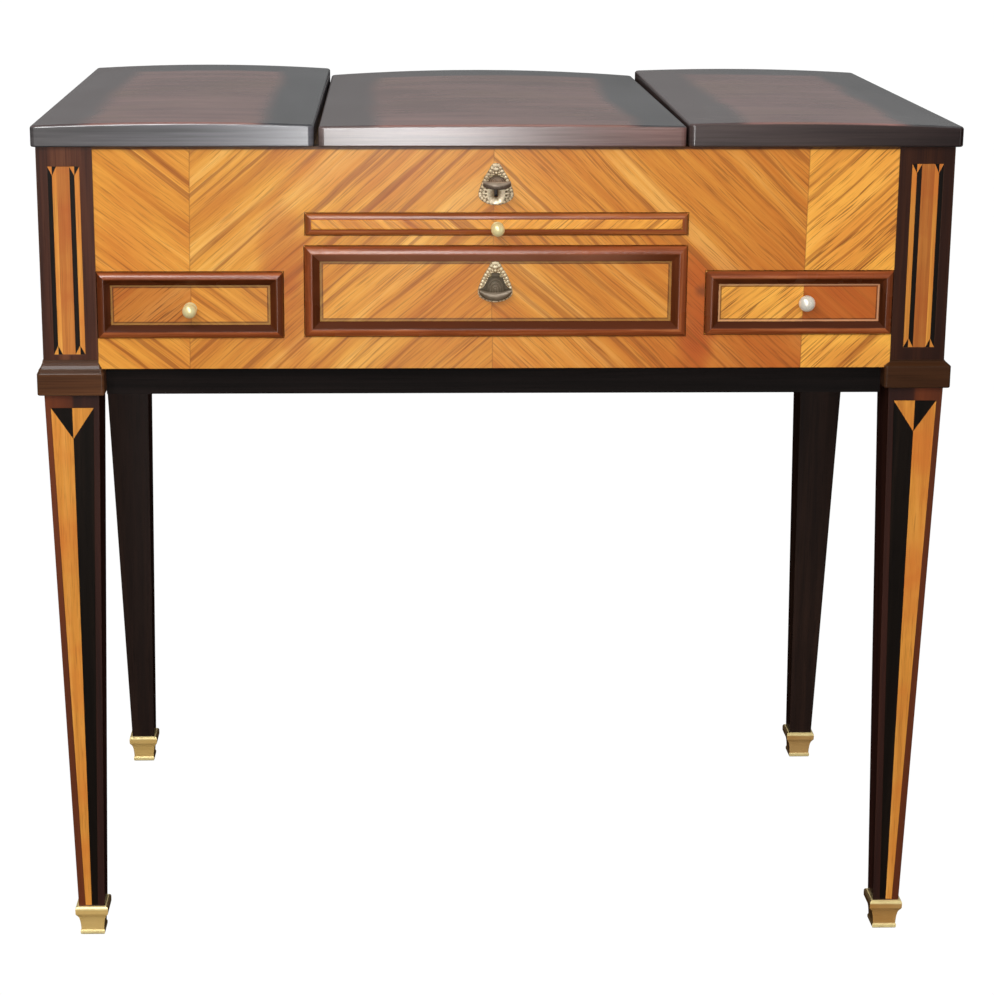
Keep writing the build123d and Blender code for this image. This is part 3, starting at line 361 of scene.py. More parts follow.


# ------------------------------------------------------------------ the lids: dark cool-grey border, redder panel in the middle, painted reflection along the front edges
def lid_material(name, x0, x1, edge_tint, panel, border, seed, edge_glare, edge_coat):
    """The front edge is painted lighter by the given factors at its left and right end, a painted reflection; edge_coat
    is how glossy it is.
    """
    m = Mat(name)
    vec, x, y, z = m.pos()
    y0, y1 = front_y - LIP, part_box("lid_center")[1].y
    cx = (x0 + x1) / 2
    warp = m.noise(m.combine(x, y, m.math("ADD", z, seed)), 7.0, 2.0, 0.5)
    wob = m.math("MULTIPLY_ADD", warp, 0.030, -0.015)
    bw = 0.046
    dx = m.math("SUBTRACT", m.math("ABSOLUTE", m.math("SUBTRACT", x, cx)), (x1 - x0) / 2 - bw)
    dy = m.math("ADD", y, 0.060 - y1)
    # a veneered panel between cross-grained ends, with a narrow band at the back; wear has blurred the line between them
    d = m.math("ADD", m.math("MAXIMUM", dx, dy), wob)
    inside = m.range(d, -0.013, 0.007, 1.0, 0.0, True)
    g = m.noise(m.combine(m.math("MULTIPLY_ADD", x, 3.0, seed), m.math("MULTIPLY", y, 40.0), m.math("MULTIPLY", z, 40.0)), 1.0, 5.0, 0.62, 0.6)
    gy = m.noise(m.combine(m.math("MULTIPLY_ADD", x, 60.0, seed), m.math("MULTIPLY", y, 4.0), m.math("MULTIPLY", z, 40.0)), 1.0, 4.0, 0.6, 0.4)
    cloud = m.noise(m.combine(x, y, m.math("ADD", z, seed)), 7.0, 4.0, 0.6)
    fine = m.noise(vec, 420.0, 3.0, 0.6)
    gf = m.noise(m.combine(m.math("MULTIPLY_ADD", x, 9.0, seed), m.math("MULTIPLY", y, 420.0), m.math("MULTIPLY", z, 420.0)), 1.0, 3.0, 0.6)
    pan = m.ramp(m.math("ADD", m.math("MULTIPLY", g, 0.50), m.math("MULTIPLY", cloud, 0.50)),
                 [(0.32, tuple(c * 0.55 for c in panel)), (0.5, panel), (0.66, tuple(min(1, c * 1.35) for c in panel))])
    pan = m.mix(m.range(gf, 0.34, 0.48, 0.45, 0.0), pan, tuple(c * 0.5 for c in panel))
    pan = m.mix(m.range(m.noise(vec, 11.0, 3.0, 0.6), 0.50, 0.70, 0.0, 0.5), pan, tuple(c * k for c, k in zip(panel, (0.95, 1.05, 0.80))))
    bor = m.ramp(m.math("ADD", m.math("MULTIPLY", gy, 0.4), m.math("MULTIPLY", cloud, 0.6)),
                 [(0.3, tuple(c * 0.55 for c in border)), (0.5, border), (0.70, tuple(c * 1.45 for c in border))])
    bor = m.mix(m.range(m.math("ADD", x, wob), x0 + 0.02, cx, 0.28, 0.0, True), bor, tuple(c * 0.8 for c in panel))
    col = m.mix(inside, bor, pan)
    # scratches: fine light lines in two directions
    sc = m.noise(m.combine(m.math("MULTIPLY_ADD", x, 18.0, seed), m.math("MULTIPLY_ADD", x, 300.0, m.math("MULTIPLY", y, 520.0)), 0.0), 1.0, 2.0, 0.5)
    col = m.mix(m.math("MULTIPLY", m.range(sc, 0.66, 0.72, 0.0, 0.30), m.range(cloud, 0.45, 0.6, 0.0, 1.0)), col, tuple(min(1, c * 2.0) for c in panel))
    # front and side edges are cross-banded
    tc = m.t.nodes.new("ShaderNodeTexCoord")
    sep = m.t.nodes.new("ShaderNodeSeparateXYZ")
    m.link(tc.outputs["Normal"], sep.inputs[0])
    edge = m.range(sep.outputs[2], 0.30, 0.70, 1.0, 0.0, True)
    eg = m.noise(m.combine(m.math("MULTIPLY_ADD", x, 6.0, seed), m.math("MULTIPLY", y, 6.0), m.math("MULTIPLY", z, 230.0)), 1.0, 4.0, 0.6)
    ecol = m.ramp(eg, [(0.3, tuple(c * 0.55 for c in edge_tint)), (0.55, edge_tint), (0.75, tuple(c * 1.4 for c in edge_tint))])
    # painted reflection: the front edge's colour is multiplied up and tinted towards its ends, standing in for the
    # lamps mirrored in it
    ecol = m.mix(m.range(x, x0, x1, 0.0, 1.0), m.mix(1.0, ecol, (edge_glare[0],) * 3, "MULTIPLY"), m.mix(1.0, ecol, edge_glare[1], "MULTIPLY"))
    col = m.mix(edge, col, ecol)
    # underneath, plain mahogany; the upper arris is painted lighter, a painted highlight, and the lower,
    # downward-facing one darker, a painted shade
    under = m.ramp(m.math("ADD", m.math("MULTIPLY", g, 0.7), m.math("MULTIPLY", cloud, 0.3)), [(0.35, lin(58, 32, 20)), (0.5, lin(92, 54, 34)), (0.66, lin(120, 76, 50))])
    under = m.mix(m.range(gf, 0.34, 0.48, 0.5, 0.0), under, lin(44, 24, 15))
    arris = m.math("MULTIPLY", m.range(sep.outputs[2], 0.35, 0.60, 0.0, 1.0, True), m.range(sep.outputs[2], 0.65, 0.95, 1.0, 0.0, True))
    col = m.mix(m.math("MULTIPLY", arris, m.range(cloud, 0.35, 0.6, 0.0, 0.30)), col, tuple(min(1, c * 1.8) for c in edge_tint))
    col = m.mix(m.range(sep.outputs[2], -0.75, -0.2, 0.8, 0.0, True), col, tuple(c * 0.3 for c in border))
    col = m.mix(m.range(sep.outputs[2], -0.98, -0.90, 1.0, 0.0), col, under)
    m.link(m.math("MULTIPLY", m.range(edge, 0.0, 1.0, 1.0, edge_coat), m.range(arris, 0.0, 1.0, 1.0, 0.40)), m.bsdf.inputs["Coat Weight"])
    rgh = m.range(cloud, 0.3, 0.7, 0.44, 0.36)
    nrm = m.bump(m.math("ADD", m.math("MULTIPLY", fine, 0.6), g), 0.10, 0.0005)
    return m.finish(col, rgh, nrm, **{"Coat Roughness": 0.17, "Coat IOR": 1.85, "IOR": 1.5, "Specular IOR Level": 0.25})


# ------------------------------------------------------------------ metals
def metal(name, base, tarnish, rough=0.3, amount=0.5, scale=160.0, bump=0.25, share=0.8, cavity=0.5, body=None):
    """body is the colour between two heights, painted duller as the shade of the sabot's hollowed body under its rim.
    """
    m = Mat(name)
    vec, x, y, z = m.pos()
    n = m.noise(vec, scale, 5.0, 0.6)
    big = m.noise(vec, scale * 0.22, 3.0, 0.5)
    geo = m.t.nodes.new("ShaderNodeNewGeometry")
    cav = m.range(geo.outputs["Pointiness"], 0.47, 0.5, 1.0, 0.0)
    t = m.math("ADD", m.math("MULTIPLY", m.range(n, 0.46, 0.68), amount), m.math("MULTIPLY", cav, cavity), clamp=True)
    col = m.mix(t, base, tarnish)
    col = m.mix(m.range(big, 0.45, 0.7, 0.0, 0.35), col, tuple(c * 0.7 for c in base))
    if body is not None:
        # painted shade: the body between the two heights takes the duller colour, browner still on the right-hand
        # sabots
        h = m.math("MULTIPLY_ADD", big, 0.0020, m.math("ADD", z, -0.0010))
        k = m.math("MULTIPLY", m.range(h, body[0], body[0] + 0.0015, 0.0, 1.0, True), m.range(h, body[1], body[1] + 0.0015, 1.0, 0.0, True))
        body_shade = m.mix(m.range(x, -0.05, 0.05, 0.0, 1.0), body[2], tuple(c * q for c, q in zip(body[2], (0.68, 0.52, 0.42))))
        col = m.mix(m.math("MULTIPLY", k, m.range(big, 0.3, 0.6, 1.0, 0.75)), col, body_shade)
        # painted shade: the faces that turn towards the middle of the table are painted dark brown, standing in for
        # their shade and their reflection of the dark legs
        tc = m.t.nodes.new("ShaderNodeTexCoord")
        sep = m.t.nodes.new("ShaderNodeSeparateXYZ")
        m.link(tc.outputs["Normal"], sep.inputs[0])
        inward = m.math("MULTIPLY", sep.outputs[0], m.math("MULTIPLY", m.math("SIGN", x), -1.0))
        col = m.mix(m.range(inward, 0.10, 0.55, 0.0, 0.90, True), col, lin(92, 62, 34))
    rgh = m.math("ADD", m.math("MULTIPLY", t, 0.3), rough, clamp=True)
    nrm = m.bump(n, bump, 0.0003)
    return m.finish(col, rgh, nrm, metallic=share)


def relief_metal(name, origin, normal, low, high, pearl, ground, rough=0.28, share=0.7):
    """Cast ornament: dark in its ground, bright on what stands proud. Height is measured along normal from origin."""
    m = Mat(name)
    vec, x, y, z = m.pos()
    h = m.math("ADD", m.math("MULTIPLY", m.math("SUBTRACT", x, origin[0]), normal[0]),
               m.math("ADD", m.math("MULTIPLY", m.math("SUBTRACT", y, origin[1]), normal[1]),
                      m.math("MULTIPLY", m.math("SUBTRACT", z, origin[2]), normal[2])))
    n = m.noise(vec, 700.0, 4.0, 0.6)
    big = m.noise(vec, 160.0, 3.0, 0.5)
    h = m.math("MULTIPLY_ADD", n, 0.0003, h)
    k = m.range(h, low, high, 0.0, 1.0, True)
    col = m.mix(k, ground, pearl)
    col = m.mix(m.range(big, 0.5, 0.72, 0.0, 0.5), col, ground)
    rgh = m.math("SUBTRACT", rough + 0.25, m.math("MULTIPLY", k, 0.25), clamp=True)
    return m.finish(col, rgh, m.bump(n, 0.25, 0.0003), metallic=share)


M = {}
M["field"] = veneer("veneer_field", ((-0.2683, 0.0178), (-0.0030, 0.0), (0.2714, 0.007)),
                    ((1, 38, 0.03, 0.98, 0.45, 0.02, 1.08), (-1, 42, 0.0, 0.88, 0.40, 0.04, 1.01), (1, 44, 0.12, 0.90, 0.55, 0.0, 1.05), (-1, 42, 0.0, 0.90, 0.90, 0.30, 1.17)),
                    redder=(0.03, 0.25, 0.53, 0.72, 0.60), knot=(0.1815, 0.618), lid_shadow=True,
                    blobs=((-0.188, 0.652, 0.022, 0.050, 0.45), (-0.176, 0.590, 0.016, 0.040, 0.40), (0.176, 0.600, 0.020, 0.060, 0.45), (0.318, 0.556, 0.050, 0.018, 0.30)))


def rect_of(d, b):
    lo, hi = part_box(f"drawer_{d}_front" if d != "slide" else "slide_moulding")
    return (lo.x + b, hi.x - b, lo.z + b, hi.z - b)


def strings_for(d, tint):
    b = 0.0134 if d == "center" else 0.0114
    return [(rect_of(d, b + 0.0009), 0.0016, tint, 0.85), (rect_of(d, b + 0.0023), 0.0012, lin(74, 38, 18), 0.80)]


M["drawer_left_front"] = veneer("veneer_drawer_left", ((-0.268, 0.0),), ((-1, 38, 0.44, 1.10, 0.95, 0.0, 0.95), (1, 38, 0.08, 0.85, 0.4, 0.0, 1.04)),
                                strings=strings_for("left", lin(150, 112, 56)), seed=11.0)
M["drawer_right_front"] = veneer("veneer_drawer_right", ((0.2716, 0.01),), ((-1, 40, 0.0, 0.9, 0.95, 0.35, 1.15), (1, 40, 0.80, 0.6, 0.3, 0.0, 1.04)),
                                 strings=strings_for("right", lin(204, 152, 112)), seed=17.0)
M["drawer_center_front"] = veneer("veneer_drawer_center", ((-0.0040, 0.0),), ((-1, 40, 0.05, 0.85, 0.5, 0.0, 1.04), (1, 40, 0.20, 0.7, 0.4, 0.0, 1.04)),
                                  strings=strings_for("center", lin(140, 104, 52)), seed=23.0)
M["slide_front"] = veneer("veneer_slide", ((-0.001, 0.0),), ((1, 40, 0.06, 0.9, 0.6, 0.05, 1.10), (-1, 40, 0.05, 0.9, 0.8, 0.20, 1.18)), seed=31.0)
M["side"] = wood("veneer_side", lin(120, 66, 28), lin(176, 108, 50), lin(206, 142, 74), along="z", rough=0.33, coat=0.3, seed=3.0)
M["post"] = wood("dark_post", lin(42, 20, 13), lin(80, 42, 26), lin(112, 66, 42), along="z", rough=0.34, coat=0.40, coat_rough=0.12, wear=lin(112, 74, 50), bevel=0.0012, right=0.42)
M["collar"] = wood("dark_collar", lin(54, 31, 17), lin(90, 54, 30), lin(112, 70, 42), along="x", rough=0.36, coat=0.32, coat_rough=0.12, wear=lin(130, 110, 90), seed=5.0, bevel=0.0010, right=0.40, spec=0.14)
M["leg"] = wood("dark_leg", lin(38, 15, 10), lin(68, 27, 16), lin(98, 46, 28), along="z", rough=0.36, coat=0.4, coat_rough=0.14, wear=lin(96, 52, 32), seed=7.0, bevel=0.0010, right=0.9,
                outside=lin(122, 60, 30), within=lin(52, 33, 28))
# the back legs take a darker copy of the leg wood: painted shade, for the shade under the case
M["back_leg"] = wood("dark_back_leg", lin(24, 13, 9), lin(42, 26, 19), lin(58, 38, 29), along="z", rough=0.4, coat=0.25, seed=8.0, bevel=0.0010)
for d, t in (("left", 0.0060), ("right", 0.0060), ("center", 0.0069)):
    M[f"drawer_{d}_moulding"] = moulding(f"moulding_{d}", rect_of(d, 0.0), lin(150, 74, 36), lin(182, 106, 60), lin(78, 34, 9) if d == "center" else lin(66, 29, 9),
                                         {"left": 1.0, "right": 2.0, "center": 3.0}[d], turn=t, sides={"left": 0.12, "right": 0.30, "center": 0.85}[d],
                                         pale=(-0.02, 0.19, lin(147, 95, 71)) if d == "center" else None)
M["slide_moulding"] = moulding("moulding_slide", rect_of("slide", 0.0), lin(160, 84, 40), lin(190, 116, 62), lin(128, 62, 32), 4.0, turn=0.0040, width=0.001)
M["light"] = wood("inlay_light", lin(182, 110, 40), lin(222, 148, 58), lin(238, 170, 80), along="z", fine=1.4, rough=0.36, coat=0.35, coat_rough=0.16, seed=12.0,
                  patch=lin(206, 112, 42), patch_at=(0.45, 0.70), right=0.95)
M["ribs"] = wood("inlay_ribs", lin(156, 82, 30), lin(192, 114, 46), lin(212, 140, 64), along="z", fine=1.4, rough=0.36, coat=0.35, coat_rough=0.16, seed=41.0,
                 patch=lin(176, 84, 34), patch_at=(0.45, 0.68), right=0.8)
M["ebony"] = wood("inlay_ebony", lin(12, 8, 5), lin(22, 15, 10), lin(36, 25, 18), along="z", fine=1.4, rough=0.4, coat=0.25, coat_rough=0.16, seed=13.0, spec=0.15)
M["black"] = wood("rail_black", lin(10, 7, 6), lin(20, 14, 12), lin(32, 23, 20), along="x", rough=0.6, coat=0.0, seed=14.0, spec=0.12)
M["oak"] = wood("oak", lin(104, 72, 40), lin(146, 106, 62), lin(176, 134, 86), along="y", rough=0.5, coat=0.08, seed=15.0, bump=0.2)
M["oak_x"] = wood("oak_back", lin(88, 60, 34), lin(126, 90, 54), lin(156, 118, 76), along="x", rough=0.55, coat=0.05, seed=16.0, bump=0.25, dust=lin(96, 78, 60))
M["pine"] = wood("pine", lin(140, 102, 62), lin(178, 138, 92), lin(200, 162, 116), along="x", rough=0.6, coat=0.0, seed=18.0, bump=0.2, dust=lin(110, 88, 66))
M["frame_wood"] = wood("mirror_frame_wood", lin(60, 28, 14), lin(100, 52, 26), lin(132, 74, 40), along="x", rough=0.3, seed=19.0)
M["sabot"] = metal("sabot_brass", lin(255, 232, 164), lin(168, 124, 66), rough=0.28, amount=0.25, scale=90.0, bump=0.12, share=0.30, cavity=0.30,
                   body=(0.0040, 0.0258, lin(232, 190, 112)))
M["plate"] = metal("plate_brass", lin(196, 180, 138), lin(92, 78, 54), rough=0.3, amount=0.6, scale=420.0, share=0.7)
M["knob_cream"] = metal("knob_brass", lin(255, 238, 178), lin(214, 178, 98), rough=0.22, amount=0.2, scale=200.0, bump=0.08, share=0.35, cavity=0.2)
M["knob_silver"] = metal("knob_silver", lin(253, 245, 228), lin(196, 170, 136), rough=0.26, amount=0.25, scale=200.0, bump=0.08, share=0.35, cavity=0.2)
M["hinge"] = metal("hinge_brass", lin(190, 152, 84), lin(96, 74, 40), rough=0.35, amount=0.6, share=0.7)
M["steel"] = metal("lock_steel", lin(84, 80, 76), lin(40, 34, 30), rough=0.45, amount=0.7, share=0.6)
mg = Mat("mirror_glass")
vec = mg.pos()[0]
spot = mg.noise(vec, 26.0, 5.0, 0.7)
foxed = mg.range(spot, 0.60, 0.74, 0.0, 0.8)
mg.finish(mg.mix(foxed, lin(206, 212, 212), lin(96, 88, 76)), mg.range(spot, 0.6, 0.74, 0.04, 0.35), metallic=0.72)
M["mirror"] = mg.m

# for each lid: its front edge colour, panel, border, seed, the painted reflection at the edge's left and right end, and
# the edge's gloss; the front edge colours, lightest on the centre lid and darkest on the right one, are the edges' own
# tone together with painted reflection and painted shade
lids = {"left": ("lid_left", lin(84, 80, 80), lin(152, 112, 105), lin(70, 72, 75), 0.0, (1.05, (1.4, 1.5, 1.7)), 1.0),
        "center": ("lid_center", lin(112, 96, 92), lin(152, 112, 104), lin(72, 73, 75), 4.0, (1.0, (1.2, 0.85, 0.8)), 0.86),
        "right": ("lid_right", lin(54, 44, 42), lin(152, 113, 107), lin(76, 75, 76), 9.0, (1.9, (0.55, 0.42, 0.42)), 0.72)}
for k, (n, edge, panel, border, seed, edge_glare, edge_coat) in lids.items():
    lo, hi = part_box(n)
    M[n] = lid_material(f"{n}_top", lo.x, hi.x, edge, panel, border, seed, edge_glare, edge_coat)

use = {"front_board": "field", "side_panel_left": "side", "side_panel_right": "side", "back_panel": "oak_x",
       "bottom_board": "pine", "bottom_rails": "black", "leg_collars": "collar", "sabots": "sabot",
       "partitions": "oak", "partition_caps": "oak", "well_floors": "oak", "dust_board": "pine",
       "drawer_and_slide_runners": "pine", "hinge_leaves_case": "hinge", "hinge_pins": "steel", "lid_lock": "steel",
       "escutcheon_upper": "plate", "escutcheon_lower": "plate", "inlay_light_wood": "light", "inlay_ebony": "ebony", "inlay_ribs": "ribs",
       "lid_left": "lid_left", "lid_center": "lid_center", "lid_right": "lid_right",
       "hinge_leaves_lid_left": "hinge", "hinge_leaves_lid_center": "hinge", "hinge_leaves_lid_right": "hinge",
       "mirror_glass": "mirror", "mirror_frame": "frame_wood", "slide_front": "slide_front", "slide_moulding": "slide_moulding",
       "slide_board": "oak", "slide_knob": "knob_cream", "drawer_left_knob": "knob_cream", "drawer_right_knob": "knob_silver",
       "keyhole_drop_upper": "plate", "keyhole_drop_lower": "plate", "lid_lock_bolt": "steel", "drawer_lock_bolt": "steel",
       "drawer_lock": "steel"}
for n in nodes:
    if n.startswith("corner_post"):
        use[n] = "post"
    elif n.startswith("leg_front"):
        use[n] = "leg"
    elif n.startswith("leg_back"):
        use[n] = "back_leg"
    elif n.startswith("drawer_") and n.endswith(("_front", "_moulding")):
        use[n] = n
    elif n.endswith("_sides_and_back") or n.startswith("drawer_") and n.endswith("_bottom"):
        use[n] = "oak"
for n, o in nodes.items():
    for s in o.material_slots:
        s.material = M[use[n]]


# ------------------------------------------------------------------ cast relief on the keyhole plates, and the bell-shaped drops
MM = 0.001
lock_x = (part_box("escutcheon_upper")[0].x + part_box("escutcheon_upper")[1].x) / 2
PLATE = [(0.0, 12.0), (2.8, 11.4), (4.6, 9.4), (5.8, 7.0), (7.6, 4.0), (9.8, 0.6), (11.6, -3.0), (13.2, -7.0), (14.6, -11.0),
         (15.3, -14.4), (15.2, -17.0), (13.8, -19.6), (11.0, -21.6), (7.4, -23.4), (3.6, -24.3), (0.0, -24.6)]
DROP = [(0.0, 2.4), (3.0, 1.9), (5.2, 0.2), (6.6, -2.4), (7.8, -6.0), (9.4, -9.0), (11.6, -11.2), (13.8, -12.4),
        (14.5, -13.4), (14.4, -15.4), (13.0, -17.8), (10.2, -20.2), (6.6, -21.8), (3.2, -22.6), (0.0, -22.8)]


def closed(half):
    return np.array(half + [(-x, z) for x, z in half[-2:0:-1]])


def to_outline(P, poly):
    """Distance of each point to the polygon, the nearest point on it, and whether it lies inside."""
    best, near, inside = np.full(len(P), 1e9), np.zeros_like(P), np.zeros(len(P), bool)
    for a, b in zip(poly, np.roll(poly, -1, axis=0)):
        d = b - a
        t = np.clip(((P - a) @ d) / (d @ d), 0, 1)
        q = a + t[:, None] * d
        r = np.hypot(P[:, 0] - q[:, 0], P[:, 1] - q[:, 1])
        k = r < best
        best[k], near[k] = r[k], q[k]
        cross = (a[1] > P[:, 1]) != (b[1] > P[:, 1])
        inside ^= cross & (P[:, 0] < a[0] + (P[:, 1] - a[1]) / (d[1] if abs(d[1]) > 1e-9 else 1e-9) * d[0])
    return best, near, inside


def row_of_points(poly, inset, spacing):
    """Points evenly spaced along the polygon's outline, moved inwards."""
    seg = np.roll(poly, -1, axis=0) - poly
    length = np.hypot(seg[:, 0], seg[:, 1])
    total = length.sum()
    count = int(round(total / spacing))
    out = []
    for i in range(count):
        s = total * i / count
        k = 0
        while s > length[k]:
            s -= length[k]
            k += 1
        p = poly[k] + seg[k] * s / length[k]
        n = np.array([seg[k][1], -seg[k][0]]) / length[k]      # the outline runs clockwise, so this points inwards or outwards
        for sign in (1, -1):
            q = p + sign * n * inset
            if to_outline(q[None], poly)[2][0]:
                out.append(q)
                break
    return np.array(out)


def relief(name, poly, height, hole, place, step=0.28, back=None, material=None):
    """A cast face: a fine grid over the outline, raised by height(u, w, d) in millimetres, and closed behind if back is given."""
    lo, hi = poly.min(axis=0), poly.max(axis=0)
    nu, nw = int(math.ceil((hi[0] - lo[0]) / step)) + 1, int(math.ceil((hi[1] - lo[1]) / step)) + 1
    us, ws = lo[0] + step * np.arange(nu + 1) - step / 2, lo[1] + step * np.arange(nw + 1) - step / 2
    U, W = np.meshgrid(us, ws, indexing="ij")
    P = np.stack([U.ravel(), W.ravel()], axis=1)
    C = np.stack([(U[:-1, :-1] + step / 2).ravel(), (W[:-1, :-1] + step / 2).ravel()], axis=1)
    keep = to_outline(C, poly)[2] & ~hole(C[:, 0], C[:, 1])
    keep = keep.reshape(nu, nw)
    pad = np.zeros((nu + 2, nw + 2), bool)
    pad[1:-1, 1:-1] = keep
    n_adj = pad[:-1, :-1].astype(int) + pad[1:, :-1] + pad[:-1, 1:] + pad[1:, 1:]
    used = (n_adj > 0).ravel()
    rim = ((n_adj > 0) & (n_adj < 4)).ravel()
    dist, near, inside = to_outline(P, poly)
    snap = rim & (dist < step * 0.9)
    P[snap] = near[snap]
    dist = np.where(inside & ~snap, dist, 0.0)
    H = height(P[:, 0], P[:, 1], dist)
    bm = bmesh.new()
    front, rear = {}, {}
    for i in np.nonzero(used)[0]:
        front[i] = bm.verts.new(place(P[i, 0], P[i, 1], H[i]))
        if back is not None:
            rear[i] = bm.verts.new(place(P[i, 0], P[i, 1], back))
    stride = nw + 1
    for i in range(nu):
        for j in range(nw):
            if not keep[i, j]:
                continue
            a, b, c, d = i * stride + j, (i + 1) * stride + j, (i + 1) * stride + j + 1, i * stride + j + 1
            bm.faces.new([front[k] for k in (a, b, c, d)])
            if back is not None:
                bm.faces.new([rear[k] for k in (d, c, b, a)])
                for p, q, ok in ((a, b, j > 0 and keep[i, j - 1]), (b, c, i < nu - 1 and keep[i + 1, j]),
                                 (c, d, j < nw - 1 and keep[i, j + 1]), (d, a, i > 0 and keep[i - 1, j])):
                    if not ok:
                        bm.faces.new([front[q], front[p], rear[p], rear[q]])
    me = bpy.data.meshes.new(name)
    bm.to_mesh(me)
    bm.free()
    for p in me.polygons:
        p.use_smooth = True
    o = bpy.data.objects.new(name, me)
    bpy.context.scene.collection.objects.link(o)
    me.materials.append(material)
    return o


plate_poly, drop_poly = closed(PLATE), closed(DROP)
pearls = [(q, 1.42) for q in row_of_points(plate_poly, 1.55, 3.15)] + [(q, 0.85) for q in row_of_points(plate_poly, 4.45, 2.30)]
pearls += [(np.array(c), r) for c, r in (((0.0, 6.6), 1.3), ((0.0, 3.6), 1.1), ((-2.2, 2.2), 0.8), ((2.2, 2.2), 0.8))]


def plate_height(u, w, d):
    h = 0.18 + 0.10 * np.sin(u * 5.1) * np.sin(w * 4.3)
    # a second fillet inside the pearls
    h = np.maximum(h, 0.60 * np.exp(-((d - 3.25) / 0.28) ** 2))
    # fluted band round the bowl
    ang = np.arctan2(w + 14.5, u)
    rho = np.hypot(u / 7.6, (w + 14.6) / 9.0)
    band = (rho > 1.02) & (rho < 1.50) & (d > 3.6)
    h = np.where(band, 0.35 + 0.32 * np.cos(ang * 18.0), h)
    for q, r in pearls:
        k = r * r - (u - q[0]) ** 2 - (w - q[1]) ** 2
        h = np.maximum(h, 0.05 + np.sqrt(np.clip(k, 0, None)) * 0.85)
    # the bowl round the keyhole, with fine leaves on its slope
    bowl = 0.25 + 0.75 * np.clip(rho, 0, 1) ** 3 + 0.10 * np.cos(ang * 14.0 + 4.0 * rho) * np.clip(rho - 0.35, 0, 1)
    h = np.where(rho <= 1.02, bowl, h)
    h = np.maximum(h, 1.0 * np.exp(-((rho - 1.0) / 0.07) ** 2))
    return np.where(d < 0.08, -0.25, h)


def drop_height(u, w, d):
    # nested arches over a shallow dome
    a = np.where(w > -12.0, np.hypot(u / 9.2, (w + 12.0) / 11.5), np.abs(u) / 9.2)
    h = 1.0 + 1.5 * np.clip(1.0 - a * a, 0, 1) + 0.34 * np.cos(2 * np.pi * a / 0.245)
    h = np.where(a > 1.0, 0.95, h)
    # the rolled lip
    centre = -18.4 + 0.024 * u * u
    half = 4.1 - 0.011 * u * u
    t = (w - centre) / half
    lip = 0.9 + 2.9 * np.sqrt(np.clip(1.0 - t * t, 0, 1)) * (1.0 - 0.35 * (u / 14.6) ** 2)
    h = np.where((np.abs(t) < 1.0) & (w < -9.5), np.maximum(lip, np.where(w < centre + 1.5, 0, h)), h)
    h = h - 0.5 * np.exp(-((t - 1.02) / 0.10) ** 2) * (w < -8.0)
    return np.maximum(-0.2, np.minimum(h, -0.2 + 4.5 * np.sqrt(np.clip(d, 0, 1.0))))


def keyhole(z_key):
    return lambda u, w: (np.hypot(u, w - z_key) < 2.75) | ((np.abs(u) < 1.65) & (w < z_key) & (w > z_key - 8.0))


def eye_notch(u, w):
    return (np.abs(u) > 3.15) & (w > -2.0)


lift = math.radians(72.0)
# the lower drop's raised colour is darker than the upper drop's: painted shade on the hanging drop's lip
for tag, z_pin, angle, body, pearl_c, ground_c, d_high, d_low, wide in (
        ("upper", 0.7194, lift, ("case", "drop_upper"), lin(252, 232, 198), lin(126, 102, 66), lin(172, 154, 134), lin(88, 72, 58), 0.84),
        ("lower", 0.6334, 0.0, ("drawer_center", "drop_lower"), lin(255, 238, 202), lin(146, 114, 70), lin(128, 112, 92), lin(86, 74, 56), 1.0)):
    face_y = field_y - 1.5 * MM
    mat = relief_metal(f"plate_relief_{tag}", (lock_x, face_y, z_pin), (0.0, -1.0, 0.0), 0.00035, 0.00085, pearl_c, ground_c, share=0.40)
    o = relief(f"escutcheon_relief_{tag}", plate_poly, plate_height, keyhole(-9.9),
               lambda u, w, h: (lock_x + u * MM, face_y - h * MM, z_pin + w * MM), material=mat)
    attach(o, body[0])
    y_pin = front_y - 4.4 * MM
    n = (0.0, -math.cos(angle), math.sin(angle))
    up_v = (0.0, math.sin(angle), math.cos(angle))
    mat = relief_metal(f"drop_relief_{tag}", (lock_x, y_pin, z_pin), n, 0.0012, 0.0034, d_high, d_low, rough=0.28, share=0.25)
    o = relief(f"bell_drop_{tag}", drop_poly, drop_height, eye_notch,
               lambda u, w, h: (lock_x + u * (1.0 - (1.0 - wide) * min(1.0, max(0.0, (-w - 1.0) / 6.0))) * MM, y_pin + (w * up_v[1] + h * n[1]) * MM, z_pin + (w * up_v[2] + h * n[2]) * MM),
               back=-0.9, material=mat)
    # the eye round the pin
    bm = bmesh.new()
    bm.from_mesh(o.data)
    ring = []
    for x in (-3.1, -2.9, 2.9, 3.1):
        r = 1.5 if abs(x) < 3 else 1.3
        ring.append([bm.verts.new((lock_x + x * MM, y_pin + r * MM * math.cos(t), z_pin + r * MM * math.sin(t)))
                     for t in (2 * math.pi * k / 20 for k in range(20))])
    for ra, rb in zip(ring, ring[1:]):
        for k in range(20):
            bm.faces.new((ra[k], rb[k], rb[(k + 1) % 20], ra[(k + 1) % 20]))
    bm.faces.new(ring[0][::-1])
    bm.faces.new(ring[-1])
    bmesh.ops.recalc_face_normals(bm, faces=bm.faces)
    bm.to_mesh(o.data)
    bm.free()
    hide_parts(f"keyhole_drop_{tag}")
    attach(o, body[1])

# ------------------------------------------------------------------ floor, light, camera
floor_me = bpy.data.meshes.new("floor")
bm = bmesh.new()
# a wide pale floor; beyond it the world is as pale
bm.faces.new([bm.verts.new(p) for p in ((-30, -30, 0), (30, -30, 0), (30, 30, 0), (-30, 30, 0))])
bm.to_mesh(floor_me)
bm.free()
floor = bpy.data.objects.new("floor", floor_me)
bpy.context.scene.collection.objects.link(floor)
